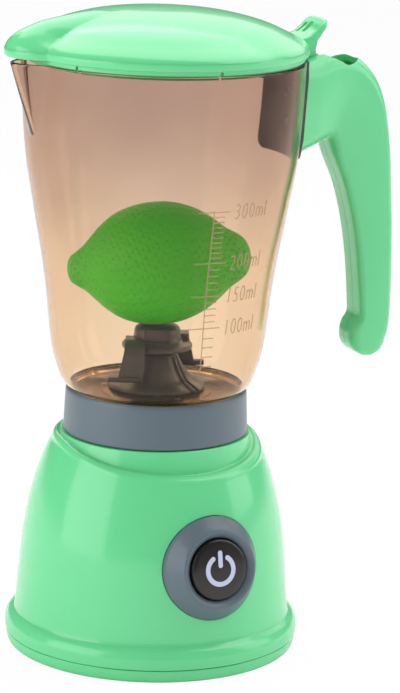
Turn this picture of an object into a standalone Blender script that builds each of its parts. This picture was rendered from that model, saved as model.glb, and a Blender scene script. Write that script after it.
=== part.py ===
"""Toy blender: a lift-off jug with a hinged lid on a battery base with a push button.

Units are metres and +Z is up. The base stands on z = 0 and the drive axis is the Z axis.
The front, with the button and the scale, faces -Y. The spout faces -X and the handle +X.
"""

import math

import bmesh
import bpy
from mathutils import Matrix, Vector

# Clearances and shared sizes
GAP = 0.0003
OVERRUN = 0.0015
RUNNING_GAP = 0.0003
SIDES_LARGE = 48
SIDES_SMALL = 20
SIDES_TINY = 12
BAR_TWIST_DEG = 4.3

# Base shell
DOME_FOOT_R = 0.0499
DOME_FOOT_Z = 0.0130
NECK_TOP_R = 0.0340
NECK_TOP_Z = 0.0792
NECK_FLARE_SHARE = 0.12
SHOULDER_STEP = 0.0009
SHELL_WALL = 0.0023
SHELL_PARTING_Z = 0.0050
FLANGE_STEP = 0.0032
FLANGE_R = DOME_FOOT_R + FLANGE_STEP
FLANGE_RISE_SHARES = ((0.0, 0.995), (0.30, 1.0), (0.55, 0.997), (0.78, 0.978), (0.93, 0.954))
SHOULDER_MID_Z = NECK_TOP_Z - SHOULDER_STEP
SHOULDER_DROP = 0.0079
SHOULDER_HIGH_DROP = 0.0014
SHOULDER_HIGH_Z = NECK_TOP_Z - SHOULDER_HIGH_DROP
SHOULDER_RISE = 0.0009
SHOULDER_ROUND = 0.0026
NECK_PLATE = 0.0022
NECK_BORE_R = 0.0070
DOME_SHARES = (
    (0.0, 1.0), (0.045, 0.973), (0.165, 0.930), (0.30, 0.879), (0.434, 0.819),
    (0.539, 0.745), (0.629, 0.664), (0.711, 0.570), (0.778, 0.477), (0.838, 0.383),
    (0.894, 0.282), (0.936, 0.188), (0.973, 0.087), (1.0, 0.0),
)
INNER_DOME_SHARES = (0.74, 0.60, 0.40, 0.20, 0.045)

# Screw posts of the base
POST_R = 0.0038
POST_TOP_Z = 0.0260
POST_INSET = 0.0057
POST_CIRCLE_R = DOME_FOOT_R - POST_INSET
POST_ANGLES_DEG = (40.0, 140.0, 220.0, 320.0)
SCREW_SHANK_R = 0.0011
SCREW_HEAD_R = 0.0024
SCREW_HEAD_H = 0.0014
SCREW_DIMPLE_R = 0.0008
SCREW_BITE = 0.0090

# Bottom cover and battery case
COVER_INSET = 0.0004
COVER_RIM_R = FLANGE_R - COVER_INSET
COVER_ROUND = 0.0024
COVER_REST_R = COVER_RIM_R - COVER_ROUND
COVER_FLOOR = 0.0030
COVER_LIP_H = 0.0030
COVER_LIP = 0.0015
DOOR_LENGTH = 0.0560
DOOR_WIDTH = 0.0350
DOOR_THICK = 0.0020
TRAY_WALL = 0.0015
TRAY_HEIGHT = 0.0170
BATTERY_R = 0.0070
BATTERY_LENGTH = 0.0485
BATTERY_NUB_R = 0.0027
BATTERY_NUB = 0.0012
CONTACT_THICK = 0.0004
CONTACT_HEIGHT = 0.0100
CONTACT_WIDTH = 0.0100
SPRING_R = 0.0028
SPRING_TIP_R = 0.0016
SPRING_LENGTH = 0.0012

# Collar ring
COLLAR_STEP = 0.0008
COLLAR_FOOT_R = NECK_TOP_R - COLLAR_STEP
COLLAR_DRAFT = 0.0007
COLLAR_TOP_R = COLLAR_FOOT_R - COLLAR_DRAFT
COLLAR_H = 0.0159
COLLAR_TOP_Z = NECK_TOP_Z + GAP + COLLAR_H
COLLAR_FLOOR = 0.0030
COLLAR_EDGE = 0.0009
COLLAR_WALL = 0.0019
COLLAR_BORE_R = COLLAR_TOP_R - COLLAR_WALL
COLLAR_CENTRE_R = 0.0090
NECK_SCREW_CIRCLE_R = 0.0190
NECK_SCREW_COUNT = 3

# Motor and drive
MOTOR_R = 0.0120
MOTOR_LENGTH = 0.0277
MOTOR_BOSS_R = 0.0030
MOTOR_BOSS = 0.0020
MOTOR_DROP = 0.0349
MOTOR_FOOT_Z = NECK_TOP_Z - MOTOR_DROP
HOLDER_WALL = 0.0020
HOLDER_FLANGE_R = 0.0240
HOLDER_FLANGE = 0.0018
HOLDER_HOLE_R = 0.0040
SHAFT_R = 0.0010
SHAFT_START = 0.0162
SHAFT_FOOT_Z = MOTOR_FOOT_Z + SHAFT_START
COUPLING_R = 0.0080
COUPLING_DISC = 0.0025
COUPLING_HUB_R = 0.0030
COUPLING_REST = 0.0008
MOTOR_COUPLING_Z = NECK_TOP_Z + GAP + COLLAR_FLOOR + COUPLING_REST
COUPLING_HUB = 0.0020
DOG_INNER_R = 0.0045
DOG_OUTER_R = 0.0076
DOG_H = 0.0025
DOG_COUNT = 3
DOG_SPAN_DEG = 42.0

# Jug
JUG_SEAT_Z = COLLAR_TOP_Z + GAP
JUG_FLOOR = 0.0018
JUG_FLOOR_DROP = 0.0005
JUG_FLOOR_Z = JUG_SEAT_Z - JUG_FLOOR_DROP
JUG_COUPLING_GAP = 0.0012
JUG_COUPLING_TOP_Z = JUG_FLOOR_Z - JUG_FLOOR - JUG_COUPLING_GAP
JUG_FOOT_R = COLLAR_TOP_R
JUG_RIM_R = 0.0502
JUG_H = 0.1183
JUG_RIM_Z = JUG_SEAT_Z + JUG_H
JUG_WALL = 0.0017
SPIGOT_GAP = 0.0004
SPIGOT_R = COLLAR_BORE_R - SPIGOT_GAP
SPIGOT_H = 0.0112
SPIGOT_Z = JUG_SEAT_Z - SPIGOT_H
SPIGOT_WALL = 0.0017
SPIGOT_PLATE = 0.0015
SPIGOT_HOLE_R = 0.0100
SPIGOT_SCREW_SHARE = 0.49
SPIGOT_SCREW_CIRCLE_R = SPIGOT_HOLE_R + SPIGOT_SCREW_SHARE * (SPIGOT_R - SPIGOT_WALL - SPIGOT_HOLE_R)
SPIGOT_SCREW_COUNT = 3
SPIGOT_SCREW_BITE = 0.0013
JUG_FLOOR_R = 0.0288
JUG_FILLET = 0.0016
SPOUT_REACH = 0.0073
SPOUT_DROP = 0.0260
SPOUT_Z = JUG_RIM_Z - SPOUT_DROP
SPOUT_TOP_HALF_DEG = 15.5
SPOUT_FOOT_HALF_DEG = 6.0
BUSH_BORE_R = 0.0019
BUSH_WALL = 0.0012
BUSH_R = BUSH_BORE_R + BUSH_WALL
BUSH_FLANGE_STEP = 0.0021
BUSH_FLANGE_R = BUSH_R + BUSH_FLANGE_STEP
BUSH_FLANGE = 0.0011
JUG_SHARES = (
    (0.0, 0.0), (0.0237, 0.096), (0.049, 0.164), (0.0744, 0.223), (0.11, 0.288),
    (0.149, 0.333), (0.22, 0.385), (0.298, 0.441), (0.396, 0.534), (0.4945, 0.6525),
    (0.5926, 0.7655), (0.69, 0.873), (0.797, 0.9407), (0.90, 0.981), (1.0, 1.0),
)

# Spindle cone, spindle and impeller
CONE_FOOT_R = 0.0173
CONE_TOP_R = 0.0060
CONE_H = 0.0127
CONE_TOP_Z = JUG_FLOOR_Z + GAP + CONE_H
CONE_WALL = 0.0015
CONE_BORE_R = 0.0026
CONE_SHARES = ((0.0, 1.0), (0.07, 0.97), (0.26, 0.60), (0.50, 0.37), (0.70, 0.24), (0.96, 0.10), (1.0, 0.0))
SPINDLE_R = 0.0016
SPINDLE_START = 0.0060
SPINDLE_FOOT_Z = MOTOR_COUPLING_Z + SPINDLE_START
HUB_CLEARANCE = 0.0014
HUB_PLATE_Z = CONE_TOP_Z + HUB_CLEARANCE
HUB_PLATE = 0.0020
HUB_PLATE_R = 0.0134
HUB_R = 0.0084
HUB_H = 0.0065
HUB_TOP_Z = HUB_PLATE_Z + HUB_PLATE + HUB_H
HUB_SHARES = ((0.0, 1.0), (0.70, 0.985), (0.90, 0.90), (0.985, 0.70), (1.0, 0.42), (1.0, 0.0))
HUB_ROOF = 0.0039
SPINDLE_TOP_Z = HUB_TOP_Z - HUB_ROOF
BLADE_FACE = 0.0147
BLADE_NEAR_SIDE = 0.0055
BLADE_FAR_SIDE = 0.0136
BLADE_THICK = 0.0018
BLADE_FLOOR_GAP = 0.0047
BLADE_FOOT_Z = JUG_FLOOR_Z + BLADE_FLOOR_GAP
BLADE_FOOT = 0.0013
BLADE_FOOT_H = 0.0018
BLADE_FOOT_SIDE = 0.0034
BLADE_ANGLES_DEG = (65.7, 245.7)

# Lime
LIME_LENGTH = 0.0660
LIME_R = 0.0219
LIME_TURN_DEG = -23.5
LIME_TILT_DEG = 6.0
LIME_SHARES = (
    (0.010, 0.07), (0.035, 0.135), (0.070, 0.24), (0.115, 0.42), (0.18, 0.65), (0.27, 0.85),
    (0.38, 0.965), (0.49, 1.0), (0.60, 0.975), (0.71, 0.87), (0.80, 0.72), (0.88, 0.54),
    (0.94, 0.43), (0.98, 0.27),
)

# Lid
LID_LIP_STEP = 0.0010
LID_LIP_R = JUG_RIM_R + LID_LIP_STEP
LID_LIP_LIFT = 0.0019
LID_LIP_Z = JUG_RIM_Z + LID_LIP_LIFT
LID_LIP_H = 0.0028
LID_LIP_TOP_Z = LID_LIP_Z + LID_LIP_H
LID_DOME_H = 0.0128
LID_TOP_Z = LID_LIP_TOP_Z + LID_DOME_H
LID_NOSE = 0.0080
LID_NOSE_HALF_DEG = 16.0
LID_SHIFT = -0.0030
LID_WALL = 0.0020
LID_BAND_STEP = 0.0006
LID_BAND_R = JUG_RIM_R - LID_BAND_STEP
LID_SKIRT_DEPTH = 0.0013
LID_SKIRT_FOOT_Z = JUG_RIM_Z - LID_SKIRT_DEPTH
LID_SKIRT_WALL = 0.0013
LID_EDGE = 0.0005
LID_SLOT_WIDTH = 0.0010
LID_SLOT_COUNT = 6
LID_DOME_SHARES = (
    (0.985, 0.08), (0.94, 0.20), (0.86, 0.36), (0.75, 0.565), (0.60, 0.75), (0.34, 0.93),
)

# Lid hinge and thumb tab
HINGE_OUT = 0.0044
HINGE_X = JUG_RIM_R + HINGE_OUT
HINGE_DROP = 0.0026
HINGE_Z = JUG_RIM_Z - HINGE_DROP
HINGE_PIN_R = 0.0012
KNUCKLE_R = 0.0025
TAB_HALF_WIDTH = 0.0080
HINGE_PIN_END = 0.0022
EAR_SHARES = ((-0.92, -0.84), (0.96, -0.84), (0.96, 0.92), (-0.92, 0.40))
HINGE_PIN_HALF = TAB_HALF_WIDTH + HINGE_PIN_END
TAB_RISE = 0.0153
TAB_TOP_Z = HINGE_Z + TAB_RISE
TAB_LEAN = 0.0054
TAB_TOP_X = HINGE_X + TAB_LEAN
TAB_THICK = 0.0026
TAB_GROOVE = 0.0009
TAB_GROOVE_WIDTH = 0.0018
TAB_GROOVE_LENGTH = 0.0062
TAB_GROOVE_SPACING = 0.0046

# Handle
HANDLE_OUT = 0.0405
HANDLE_REACH = JUG_RIM_R + HANDLE_OUT
HANDLE_RISE = 0.0010
HANDLE_TOP_Z = JUG_RIM_Z + HANDLE_RISE
HANDLE_H = 0.1138
HANDLE_FOOT_Z = HANDLE_TOP_Z - HANDLE_H
HANDLE_WALL = 0.0018
HANDLE_ROOT_HALF = 0.0155
HANDLE_CORNER_SHARE = 0.36
SEAM_GAP = 0.00015
HANDLE_SHARES = (
    (0.0, 0.685, 0.0, 0.978, 1.0), (0.106, 0.695, 0.168, 0.998, 0.86),
    (0.205, 0.710, 0.378, 1.0, 0.71), (0.286, 0.719, 0.575, 0.975, 0.606),
    (0.333, 0.695, 0.741, 0.921, 0.548), (0.373, 0.661, 0.840, 0.849, 0.51),
    (0.422, 0.622, 0.899, 0.758, 0.484), (0.484, 0.571, 0.941, 0.653, 0.465),
    (0.548, 0.499, 0.965, 0.539, 0.452), (0.600, 0.420, 0.985, 0.438, 0.452),
    (0.637, 0.341, 0.995, 0.350, 0.452), (0.664, 0.262, 1.0, 0.262, 0.452),
    (0.684, 0.183, 0.998, 0.178, 0.452), (0.689, 0.134, 0.993, 0.121, 0.452),
    (0.642, 0.109, 0.988, 0.0905, 0.452), (0.610, 0.082, 0.980, 0.064, 0.45),
    (0.612, 0.051, 0.958, 0.036, 0.445), (0.657, 0.023, 0.914, 0.016, 0.41),
    (0.731, 0.005, 0.847, 0.003, 0.33),
)
TOP_OPENING_REACH = 0.0189
TOP_OPENING_END_X = HINGE_X + TOP_OPENING_REACH
TOP_OPENING_GAP = 0.0004
TOP_OPENING_HALF = TAB_HALF_WIDTH + TOP_OPENING_GAP
TOP_OPENING_DEPTH = 0.0029
TOP_OPENING_FOOT_Z = HINGE_Z - TOP_OPENING_DEPTH
HANDLE_SCREW_SHARES = ((0.42, 0.86, 0.62), (0.61, 0.755, 0.51), (0.842, 0.18, 0.452))
HANDLE_BOSS_R = 0.0033
HANDLE_SCREW_BITE = 0.0042
BRACKET_FOOT_SHARE = 0.736
BRACKET_FOOT_Z = HANDLE_FOOT_Z + BRACKET_FOOT_SHARE * HANDLE_H
BRACKET_TOP_SHARE = 0.921
BRACKET_TOP_Z = HANDLE_FOOT_Z + BRACKET_TOP_SHARE * HANDLE_H
BRACKET_THICK = 0.0022
BRACKET_SCREW_SHARES = (0.20, 0.74)
BRACKET_POST_R = 0.0025
PAD_FOOT_SHARE = 0.670
PAD_FOOT_Z = HANDLE_FOOT_Z + PAD_FOOT_SHARE * HANDLE_H
PAD_TOP_SHARE = 0.981
PAD_TOP_Z = HANDLE_FOOT_Z + PAD_TOP_SHARE * HANDLE_H
PAD_BORDER = 0.0008
PAD_HALF = HANDLE_ROOT_HALF + PAD_BORDER
PAD_THICK = 0.0010
PAD_ROUND = 0.0040

# Button and bezel
BUTTON_TURN_DEG = 4.0
BUTTON_TILT_DEG = 8.0
BUTTON_Z = 0.0406
BUTTON_STAND_OUT = 0.0047
BUTTON_R = 0.01085
BUTTON_SKIRT = 0.0060
BUTTON_WALL = 0.0013
BUTTON_TOP = 0.0022
BUTTON_CROWN = 0.0006
BUTTON_SUNK = -0.0004
BUTTON_STEM_R = 0.0030
BUTTON_STEM_FOOT = 0.0105
BEZEL_RIDGE_STEP = 0.00245
BEZEL_RIDGE_R = BUTTON_R + BEZEL_RIDGE_STEP
BEZEL_SKIRT = 0.0051
BEZEL_R = BEZEL_RIDGE_R + BEZEL_SKIRT
BEZEL_RIDGE_FLAT = 0.0003
BEZEL_BEVEL = 0.0019
BEZEL_LIP = 0.0007
BEZEL_TUBE_STEP = 0.00155
BEZEL_TUBE_R = BUTTON_R + BEZEL_TUBE_STEP
BEZEL_TUBE_FOOT = 0.0125
CRADLE_WALL = 0.0016
CRADLE_R = BEZEL_TUBE_R + CRADLE_WALL
CRADLE_LIP = 0.0028
CRADLE_PLATE = 0.0018
CRADLE_HOLE_R = 0.0032
PLUNGER_R = 0.0015
PLUNGER_LENGTH = 0.0046
SWITCH_SIDE = 0.0080
SWITCH_DEPTH = 0.0051
SWITCH_BORE = 0.0032

COLOURS = {
    "mint": ((0.20, 0.72, 0.36, 1.0), 0.25, 0.0),
    "slate": ((0.14, 0.18, 0.21, 1.0), 0.45, 0.0),
    "smoke": ((0.42, 0.24, 0.15, 0.45), 0.10, 0.0),
    "dark_smoke": ((0.09, 0.06, 0.045, 1.0), 0.30, 0.0),
    "black": ((0.02, 0.018, 0.016, 1.0), 0.25, 0.0),
    "green": ((0.10, 0.38, 0.04, 1.0), 0.45, 0.0),
    "steel": ((0.60, 0.60, 0.62, 1.0), 0.35, 1.0),
    "brass": ((0.75, 0.58, 0.28, 1.0), 0.35, 1.0),
    "white": ((0.80, 0.80, 0.78, 1.0), 0.50, 0.0),
    "cell": ((0.05, 0.10, 0.30, 1.0), 0.35, 0.0),
}


def clear_scene():
    """Remove whatever the scene holds before the model is built."""
    for item in list(bpy.data.objects):
        bpy.data.objects.remove(item, do_unlink=True)


def finish_material(name):
    """Return the Principled material of that name, made once."""
    found = bpy.data.materials.get(name)
    if found:
        return found
    colour, roughness, metallic = COLOURS[name]
    made = bpy.data.materials.new(name)
    made.use_nodes = True
    shader = made.node_tree.nodes["Principled BSDF"]
    shader.inputs["Base Color"].default_value = colour
    shader.inputs["Roughness"].default_value = roughness
    shader.inputs["Metallic"].default_value = metallic
    shader.inputs["Alpha"].default_value = colour[3]
    return made


def add_object(name, mesh_data, colour, parent=None, matrix=None):
    """Turn a bmesh into a named object with one material."""
    bmesh.ops.recalc_face_normals(mesh_data, faces=mesh_data.faces)
    mesh = bpy.data.meshes.new(name)
    mesh_data.to_mesh(mesh)
    mesh_data.free()
    mesh.shade_smooth()
    mesh.set_sharp_from_angle(angle=math.radians(35.0))
    mesh.materials.append(finish_material(colour))
    item = bpy.data.objects.new(name, mesh)
    bpy.context.scene.collection.objects.link(item)
    if matrix is not None:
        item.matrix_world = matrix
    if parent is not None:
        item.parent = parent
        item.matrix_parent_inverse = parent.matrix_world.inverted()
    return item


def add_axis(name, place):
    """Add the empty that a moving piece turns or slides about."""
    axis = bpy.data.objects.new(name, None)
    axis.matrix_world = Matrix.Translation(place)
    bpy.context.scene.collection.objects.link(axis)
    return axis


def cut_or_join(target, shapes, operation):
    """Apply one Boolean with several separate shapes gathered in a hidden tool."""
    gathered = bmesh.new()
    for shape in shapes:
        mesh = shape.data.copy()
        mesh.transform(shape.matrix_world)
        gathered.from_mesh(mesh)
        bpy.data.objects.remove(shape, do_unlink=True)
    tool = add_object(f"{target.name}_{operation.lower()}", gathered, "white")
    tool.hide_render = True
    tool.display_type = "WIRE"
    change = target.modifiers.new(tool.name, "BOOLEAN")
    change.operation = operation
    change.solver = "EXACT"
    change.object = tool


def cut(target, *shapes):
    """Cut separate shapes out of a piece."""
    cut_or_join(target, shapes, "DIFFERENCE")


def join(target, *shapes):
    """Grow a piece by separate shapes."""
    cut_or_join(target, shapes, "UNION")


def even_angles(count):
    """Return evenly spaced angles round a full turn."""
    return [2.0 * math.pi * step / count for step in range(count)]


def spout_angles():
    """Return angles round a full turn, closer together round the spout at -X."""
    near = [math.radians(180.0 + step) for step in (-18, -13, -9, -6, -3, 0, 3, 6, 9, 13, 18)]
    count = SIDES_LARGE - len(near)
    start = near[-1]
    span = 2.0 * math.pi - (near[-1] - near[0])
    far = [start + span * step / (count + 1) for step in range(1, count + 1)]
    return near + far


def round_place(radius, height, angle):
    """Return the point at a radius, height and angle about Z."""
    return Vector((radius * math.cos(angle), radius * math.sin(angle), height))


def make_rings(profile, angles, place=round_place):
    """Turn profile points into rings of points, a point on the axis into a single one."""
    rings = []
    for radius, height in profile:
        if radius == 0.0:
            rings.append([place(0.0, height, 0.0)])
        else:
            rings.append([place(radius, height, angle) for angle in angles])
    return rings


def bridge(mesh_data, first, second):
    """Join two rings of vertices, either of which may be a single point."""
    count = max(len(first), len(second))
    for step in range(count):
        after = (step + 1) % count
        corners = [first[step % len(first)], first[after % len(first)]]
        corners += [second[after % len(second)], second[step % len(second)]]
        unique = list(dict.fromkeys(corners))
        mesh_data.faces.new(unique)


def skin(rings):
    """Make a closed skin over rings; rings that end off the axis close into a loop."""
    mesh_data = bmesh.new()
    made = [[mesh_data.verts.new(point) for point in ring] for ring in rings]
    for first, second in zip(made, made[1:]):
        bridge(mesh_data, first, second)
    if len(rings[0]) > 1:
        bridge(mesh_data, made[-1], made[0])
    return mesh_data


def turned(name, profile, colour, parent=None, matrix=None, sides=SIDES_SMALL, angles=None,
           place=round_place):
    """Add a turned piece from its half profile."""
    if angles is None:
        angles = even_angles(sides)
    rings = make_rings(profile, angles, place)
    return add_object(name, skin(rings), colour, parent, matrix)


def rod(name, radius, low, high, colour, parent=None, matrix=None, sides=SIDES_TINY):
    """Add a plain round bar along the local Z axis."""
    profile = ((0.0, low), (radius, low), (radius, high), (0.0, high))
    angles = [angle + math.radians(BAR_TWIST_DEG) for angle in even_angles(sides)]
    return turned(name, profile, colour, parent, matrix, angles=angles)


def stepped_hole(name, narrow, wide, low, step, high, matrix):
    """Add the shape of a screw hole with a wider well for the head from the step up."""
    profile = ((0.0, low), (narrow, low), (narrow, step), (wide, step), (wide, high), (0.0, high))
    angles = [angle + math.radians(BAR_TWIST_DEG) for angle in even_angles(SIDES_TINY)]
    return turned(name, profile, "white", None, matrix, angles=angles)


def block(name, low, high, colour, parent=None, matrix=None):
    """Add a box between two corners."""
    mesh_data = bmesh.new()
    corners = [(x, y) for x, y in ((low[0], low[1]), (high[0], low[1]), (high[0], high[1]), (low[0], high[1]))]
    rings = [[mesh_data.verts.new((x, y, z)) for x, y in corners] for z in (low[2], high[2])]
    bridge(mesh_data, rings[0], rings[1])
    mesh_data.faces.new(rings[0])
    mesh_data.faces.new(rings[1])
    return add_object(name, mesh_data, colour, parent, matrix)


def prism(name, outline, half_widths, colour, parent=None, matrix=None):
    """Add an outline in the XZ plane drawn out to its own half width at each corner."""
    mesh_data = bmesh.new()
    sides = []
    for way in (-1.0, 1.0):
        sides.append([mesh_data.verts.new((x, way * half, z)) for (x, z), half in zip(outline, half_widths)])
    bridge(mesh_data, sides[0], sides[1])
    mesh_data.faces.new(sides[0])
    mesh_data.faces.new(sides[1])
    return add_object(name, mesh_data, colour, parent, matrix)


def along(place, direction):
    """Return the matrix that puts local +Z along a direction at a place."""
    turn = Vector(direction).to_track_quat("Z", "Y").to_matrix().to_4x4()
    return Matrix.Translation(place) @ turn


def screw(name, seat, direction, length, parent=None):
    """Add a pan head screw whose head stands on its seat and whose shank runs against direction."""
    profile = (
        (0.0, -length), (SCREW_SHANK_R, -length), (SCREW_SHANK_R, GAP), (SCREW_HEAD_R, GAP),
        (SCREW_HEAD_R, SCREW_HEAD_H), (SCREW_DIMPLE_R, SCREW_HEAD_H + GAP),
        (0.0, SCREW_HEAD_H - SCREW_DIMPLE_R),
    )
    return turned(name, profile, "steel", parent, along(seat, direction), SIDES_TINY)


def mix(low, high, share):
    """Return the value a share of the way from low to high."""
    return low + (high - low) * share


def read_shares(table, at):
    """Return the straight-line reading of a table of (position, value) shares."""
    for (low, first), (high, second) in zip(table, table[1:]):
        if at <= high:
            return mix(first, second, max(0.0, (at - low) / (high - low)))
    return table[-1][1]


def dome_radius(height):
    """Return the outer radius of the base dome at a height."""
    share = (height - DOME_FOOT_Z) / (NECK_TOP_Z - DOME_FOOT_Z)
    top = NECK_TOP_R + SHOULDER_STEP
    return mix(top, DOME_FOOT_R, read_shares(DOME_SHARES, min(max(share, 0.0), 1.0)))


def neck_radius(height):
    """Return the outer radius of the neck, which flares a little downwards."""
    return NECK_TOP_R + NECK_FLARE_SHARE * (NECK_TOP_Z - height)


def valley_height(angle):
    """Return the height of the groove between neck and shoulder, which dips at the front."""
    front = math.radians(-90.0)
    return min(SHOULDER_MID_Z - SHOULDER_DROP * math.cos(angle - front), SHOULDER_HIGH_Z)


def jug_radius(height):
    """Return the outer radius of the jug at a height, without the spout."""
    share = (height - JUG_SEAT_Z) / (JUG_RIM_Z - JUG_SEAT_Z)
    return mix(JUG_FOOT_R, JUG_RIM_R, read_shares(JUG_SHARES, min(max(share, 0.0), 1.0)))


def bulge(angle, half_angle):
    """Return a smooth 0 to 1 bulge centred on -X."""
    off = abs(math.remainder(angle - math.pi, 2.0 * math.pi))
    if off >= half_angle:
        return 0.0
    return math.cos(0.5 * math.pi * off / half_angle) ** 2


def spout_place(radius, height, angle):
    """Return a jug wall point, pushed out where the spout is."""
    share = min(max((height - SPOUT_Z) / (JUG_RIM_Z - SPOUT_Z), 0.0), 1.0)
    half = math.radians(mix(SPOUT_FOOT_HALF_DEG, SPOUT_TOP_HALF_DEG, share))
    return round_place(radius + SPOUT_REACH * share * bulge(angle, half), height, angle)


def base_shell():
    """Add the mint dome with its flange, neck and sloping shoulder."""
    angles = even_angles(SIDES_LARGE)
    parting = SHELL_PARTING_Z + 0.5 * GAP
    rings = []
    for rise, share in FLANGE_RISE_SHARES:
        rings += make_rings([(FLANGE_R * share, mix(parting, DOME_FOOT_Z, rise))], angles)
    for share, _ in DOME_SHARES[:-2]:
        ring = []
        for angle in angles:
            crest = valley_height(angle) + SHOULDER_RISE - SHOULDER_ROUND
            height = mix(DOME_FOOT_Z, crest, share / DOME_SHARES[-3][0])
            ring.append(round_place(dome_radius(height), height, angle))
        rings.append(ring)
    for out_share, up_share in ((0.80, 0.78), (0.42, 1.0), (0.12, 0.80)):
        ring = []
        for angle in angles:
            valley = valley_height(angle)
            crest = valley + SHOULDER_RISE
            height = mix(crest - SHOULDER_ROUND, crest, up_share)
            ring.append(round_place(mix(neck_radius(valley), dome_radius(crest), out_share), height, angle))
        rings.append(ring)
    rings.append([round_place(neck_radius(valley_height(a)), valley_height(a), a) for a in angles])
    plate_foot = NECK_TOP_Z - NECK_PLATE
    neck_inner_r = NECK_TOP_R - SHELL_WALL
    hollow_z = mix(DOME_FOOT_Z, NECK_TOP_Z, 0.83)
    flange_inner_r = FLANGE_R - SHELL_WALL
    inside = [
        (NECK_TOP_R, NECK_TOP_Z), (NECK_BORE_R, NECK_TOP_Z), (NECK_BORE_R, plate_foot),
        (neck_inner_r, plate_foot), (neck_inner_r, hollow_z),
    ]
    for share in INNER_DOME_SHARES:
        height = mix(DOME_FOOT_Z, NECK_TOP_Z, share)
        inside.append((dome_radius(height) - SHELL_WALL, height))
    inside += [(flange_inner_r, DOME_FOOT_Z - SHELL_WALL), (flange_inner_r, parting)]
    rings += make_rings(inside, angles)
    shell = add_object("base_shell", skin(rings), "mint")
    places = [round_place(POST_CIRCLE_R, 0.0, math.radians(angle)) for angle in POST_ANGLES_DEG]
    join(shell, *[rod("post", POST_R, post_foot(), POST_TOP_Z, "mint", None, Matrix.Translation(place))
                  for place in places])
    hole_r = SCREW_SHANK_R + GAP
    hole_top = cover_top() + SCREW_BITE + OVERRUN
    holes = [rod("post_hole", hole_r, 0.0, hole_top, "mint", None, Matrix.Translation(place)) for place in places]
    for place in neck_screw_places():
        holes.append(rod("neck_hole", hole_r, plate_foot - OVERRUN, NECK_TOP_Z + OVERRUN, "mint", None,
                         Matrix.Translation(place)))
    holes.append(rod("button_hole", BEZEL_TUBE_R + GAP, -BEZEL_TUBE_FOOT - OVERRUN, OVERRUN, "mint", None,
                     button_frame(), SIDES_LARGE))
    cut(shell, *holes)
    return shell


def cover_top():
    """Return the height of the inner face of the bottom cover's floor."""
    return COVER_FLOOR


def post_foot():
    """Return the height of the posts' lower ends, just over the cover."""
    return cover_top() + GAP


def neck_screw_places():
    """Return the axis points of the screws that hold motor holder, shell and collar together."""
    angles = [angle + math.radians(90.0) for angle in even_angles(NECK_SCREW_COUNT)]
    return [round_place(NECK_SCREW_CIRCLE_R, 0.0, angle) for angle in angles]


def bottom_cover():
    """Add the bottom cover with its rest ring and battery opening, and its screws."""
    rim_z = SHELL_PARTING_Z - 0.5 * GAP
    lip_r = FLANGE_R - SHELL_WALL - GAP
    profile = [
        (0.0, 0.0), (COVER_REST_R, 0.0), (mix(COVER_REST_R, COVER_RIM_R, 0.6), rim_z * 0.08),
        (mix(COVER_REST_R, COVER_RIM_R, 0.9), rim_z * 0.32), (COVER_RIM_R, rim_z),
        (lip_r, rim_z), (lip_r, rim_z + COVER_LIP_H), (lip_r - COVER_LIP, rim_z + COVER_LIP_H),
        (lip_r - COVER_LIP, cover_top()), (0.0, cover_top()),
    ]
    cover = turned("bottom_cover", profile, "mint", sides=SIDES_LARGE)
    half_x = 0.5 * DOOR_LENGTH + GAP
    half_y = 0.5 * DOOR_WIDTH + GAP
    opening = block("battery_opening", (-half_x, -half_y, -OVERRUN), (half_x, half_y, cover_top() + OVERRUN),
                    "mint")
    seat = cover_top() - mix(0.0, COVER_FLOOR, 0.55)
    wells = []
    for number, angle in enumerate(POST_ANGLES_DEG, 1):
        place = round_place(POST_CIRCLE_R, 0.0, math.radians(angle))
        wells.append(stepped_hole("cover_well", SCREW_SHANK_R + GAP, SCREW_HEAD_R + GAP, -cover_top() - OVERRUN,
                                  -seat, OVERRUN, along(place, (0.0, 0.0, -1.0))))
        screw(f"cover_screw_{number}", place + Vector((0.0, 0.0, seat)), (0.0, 0.0, -1.0), SCREW_BITE)
    cut(cover, opening, *wells)
    block("battery_door", (-0.5 * DOOR_LENGTH, -0.5 * DOOR_WIDTH, 0.0),
          (0.5 * DOOR_LENGTH, 0.5 * DOOR_WIDTH, DOOR_THICK), "mint")


def tray_inner():
    """Return the half length, half width and foot height of the battery space."""
    half_x = 0.5 * BATTERY_LENGTH + BATTERY_NUB + SPRING_LENGTH + CONTACT_THICK + GAP + GAP
    half_y = 2.0 * BATTERY_R + GAP + GAP
    return half_x, half_y, cover_top() + GAP


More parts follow.
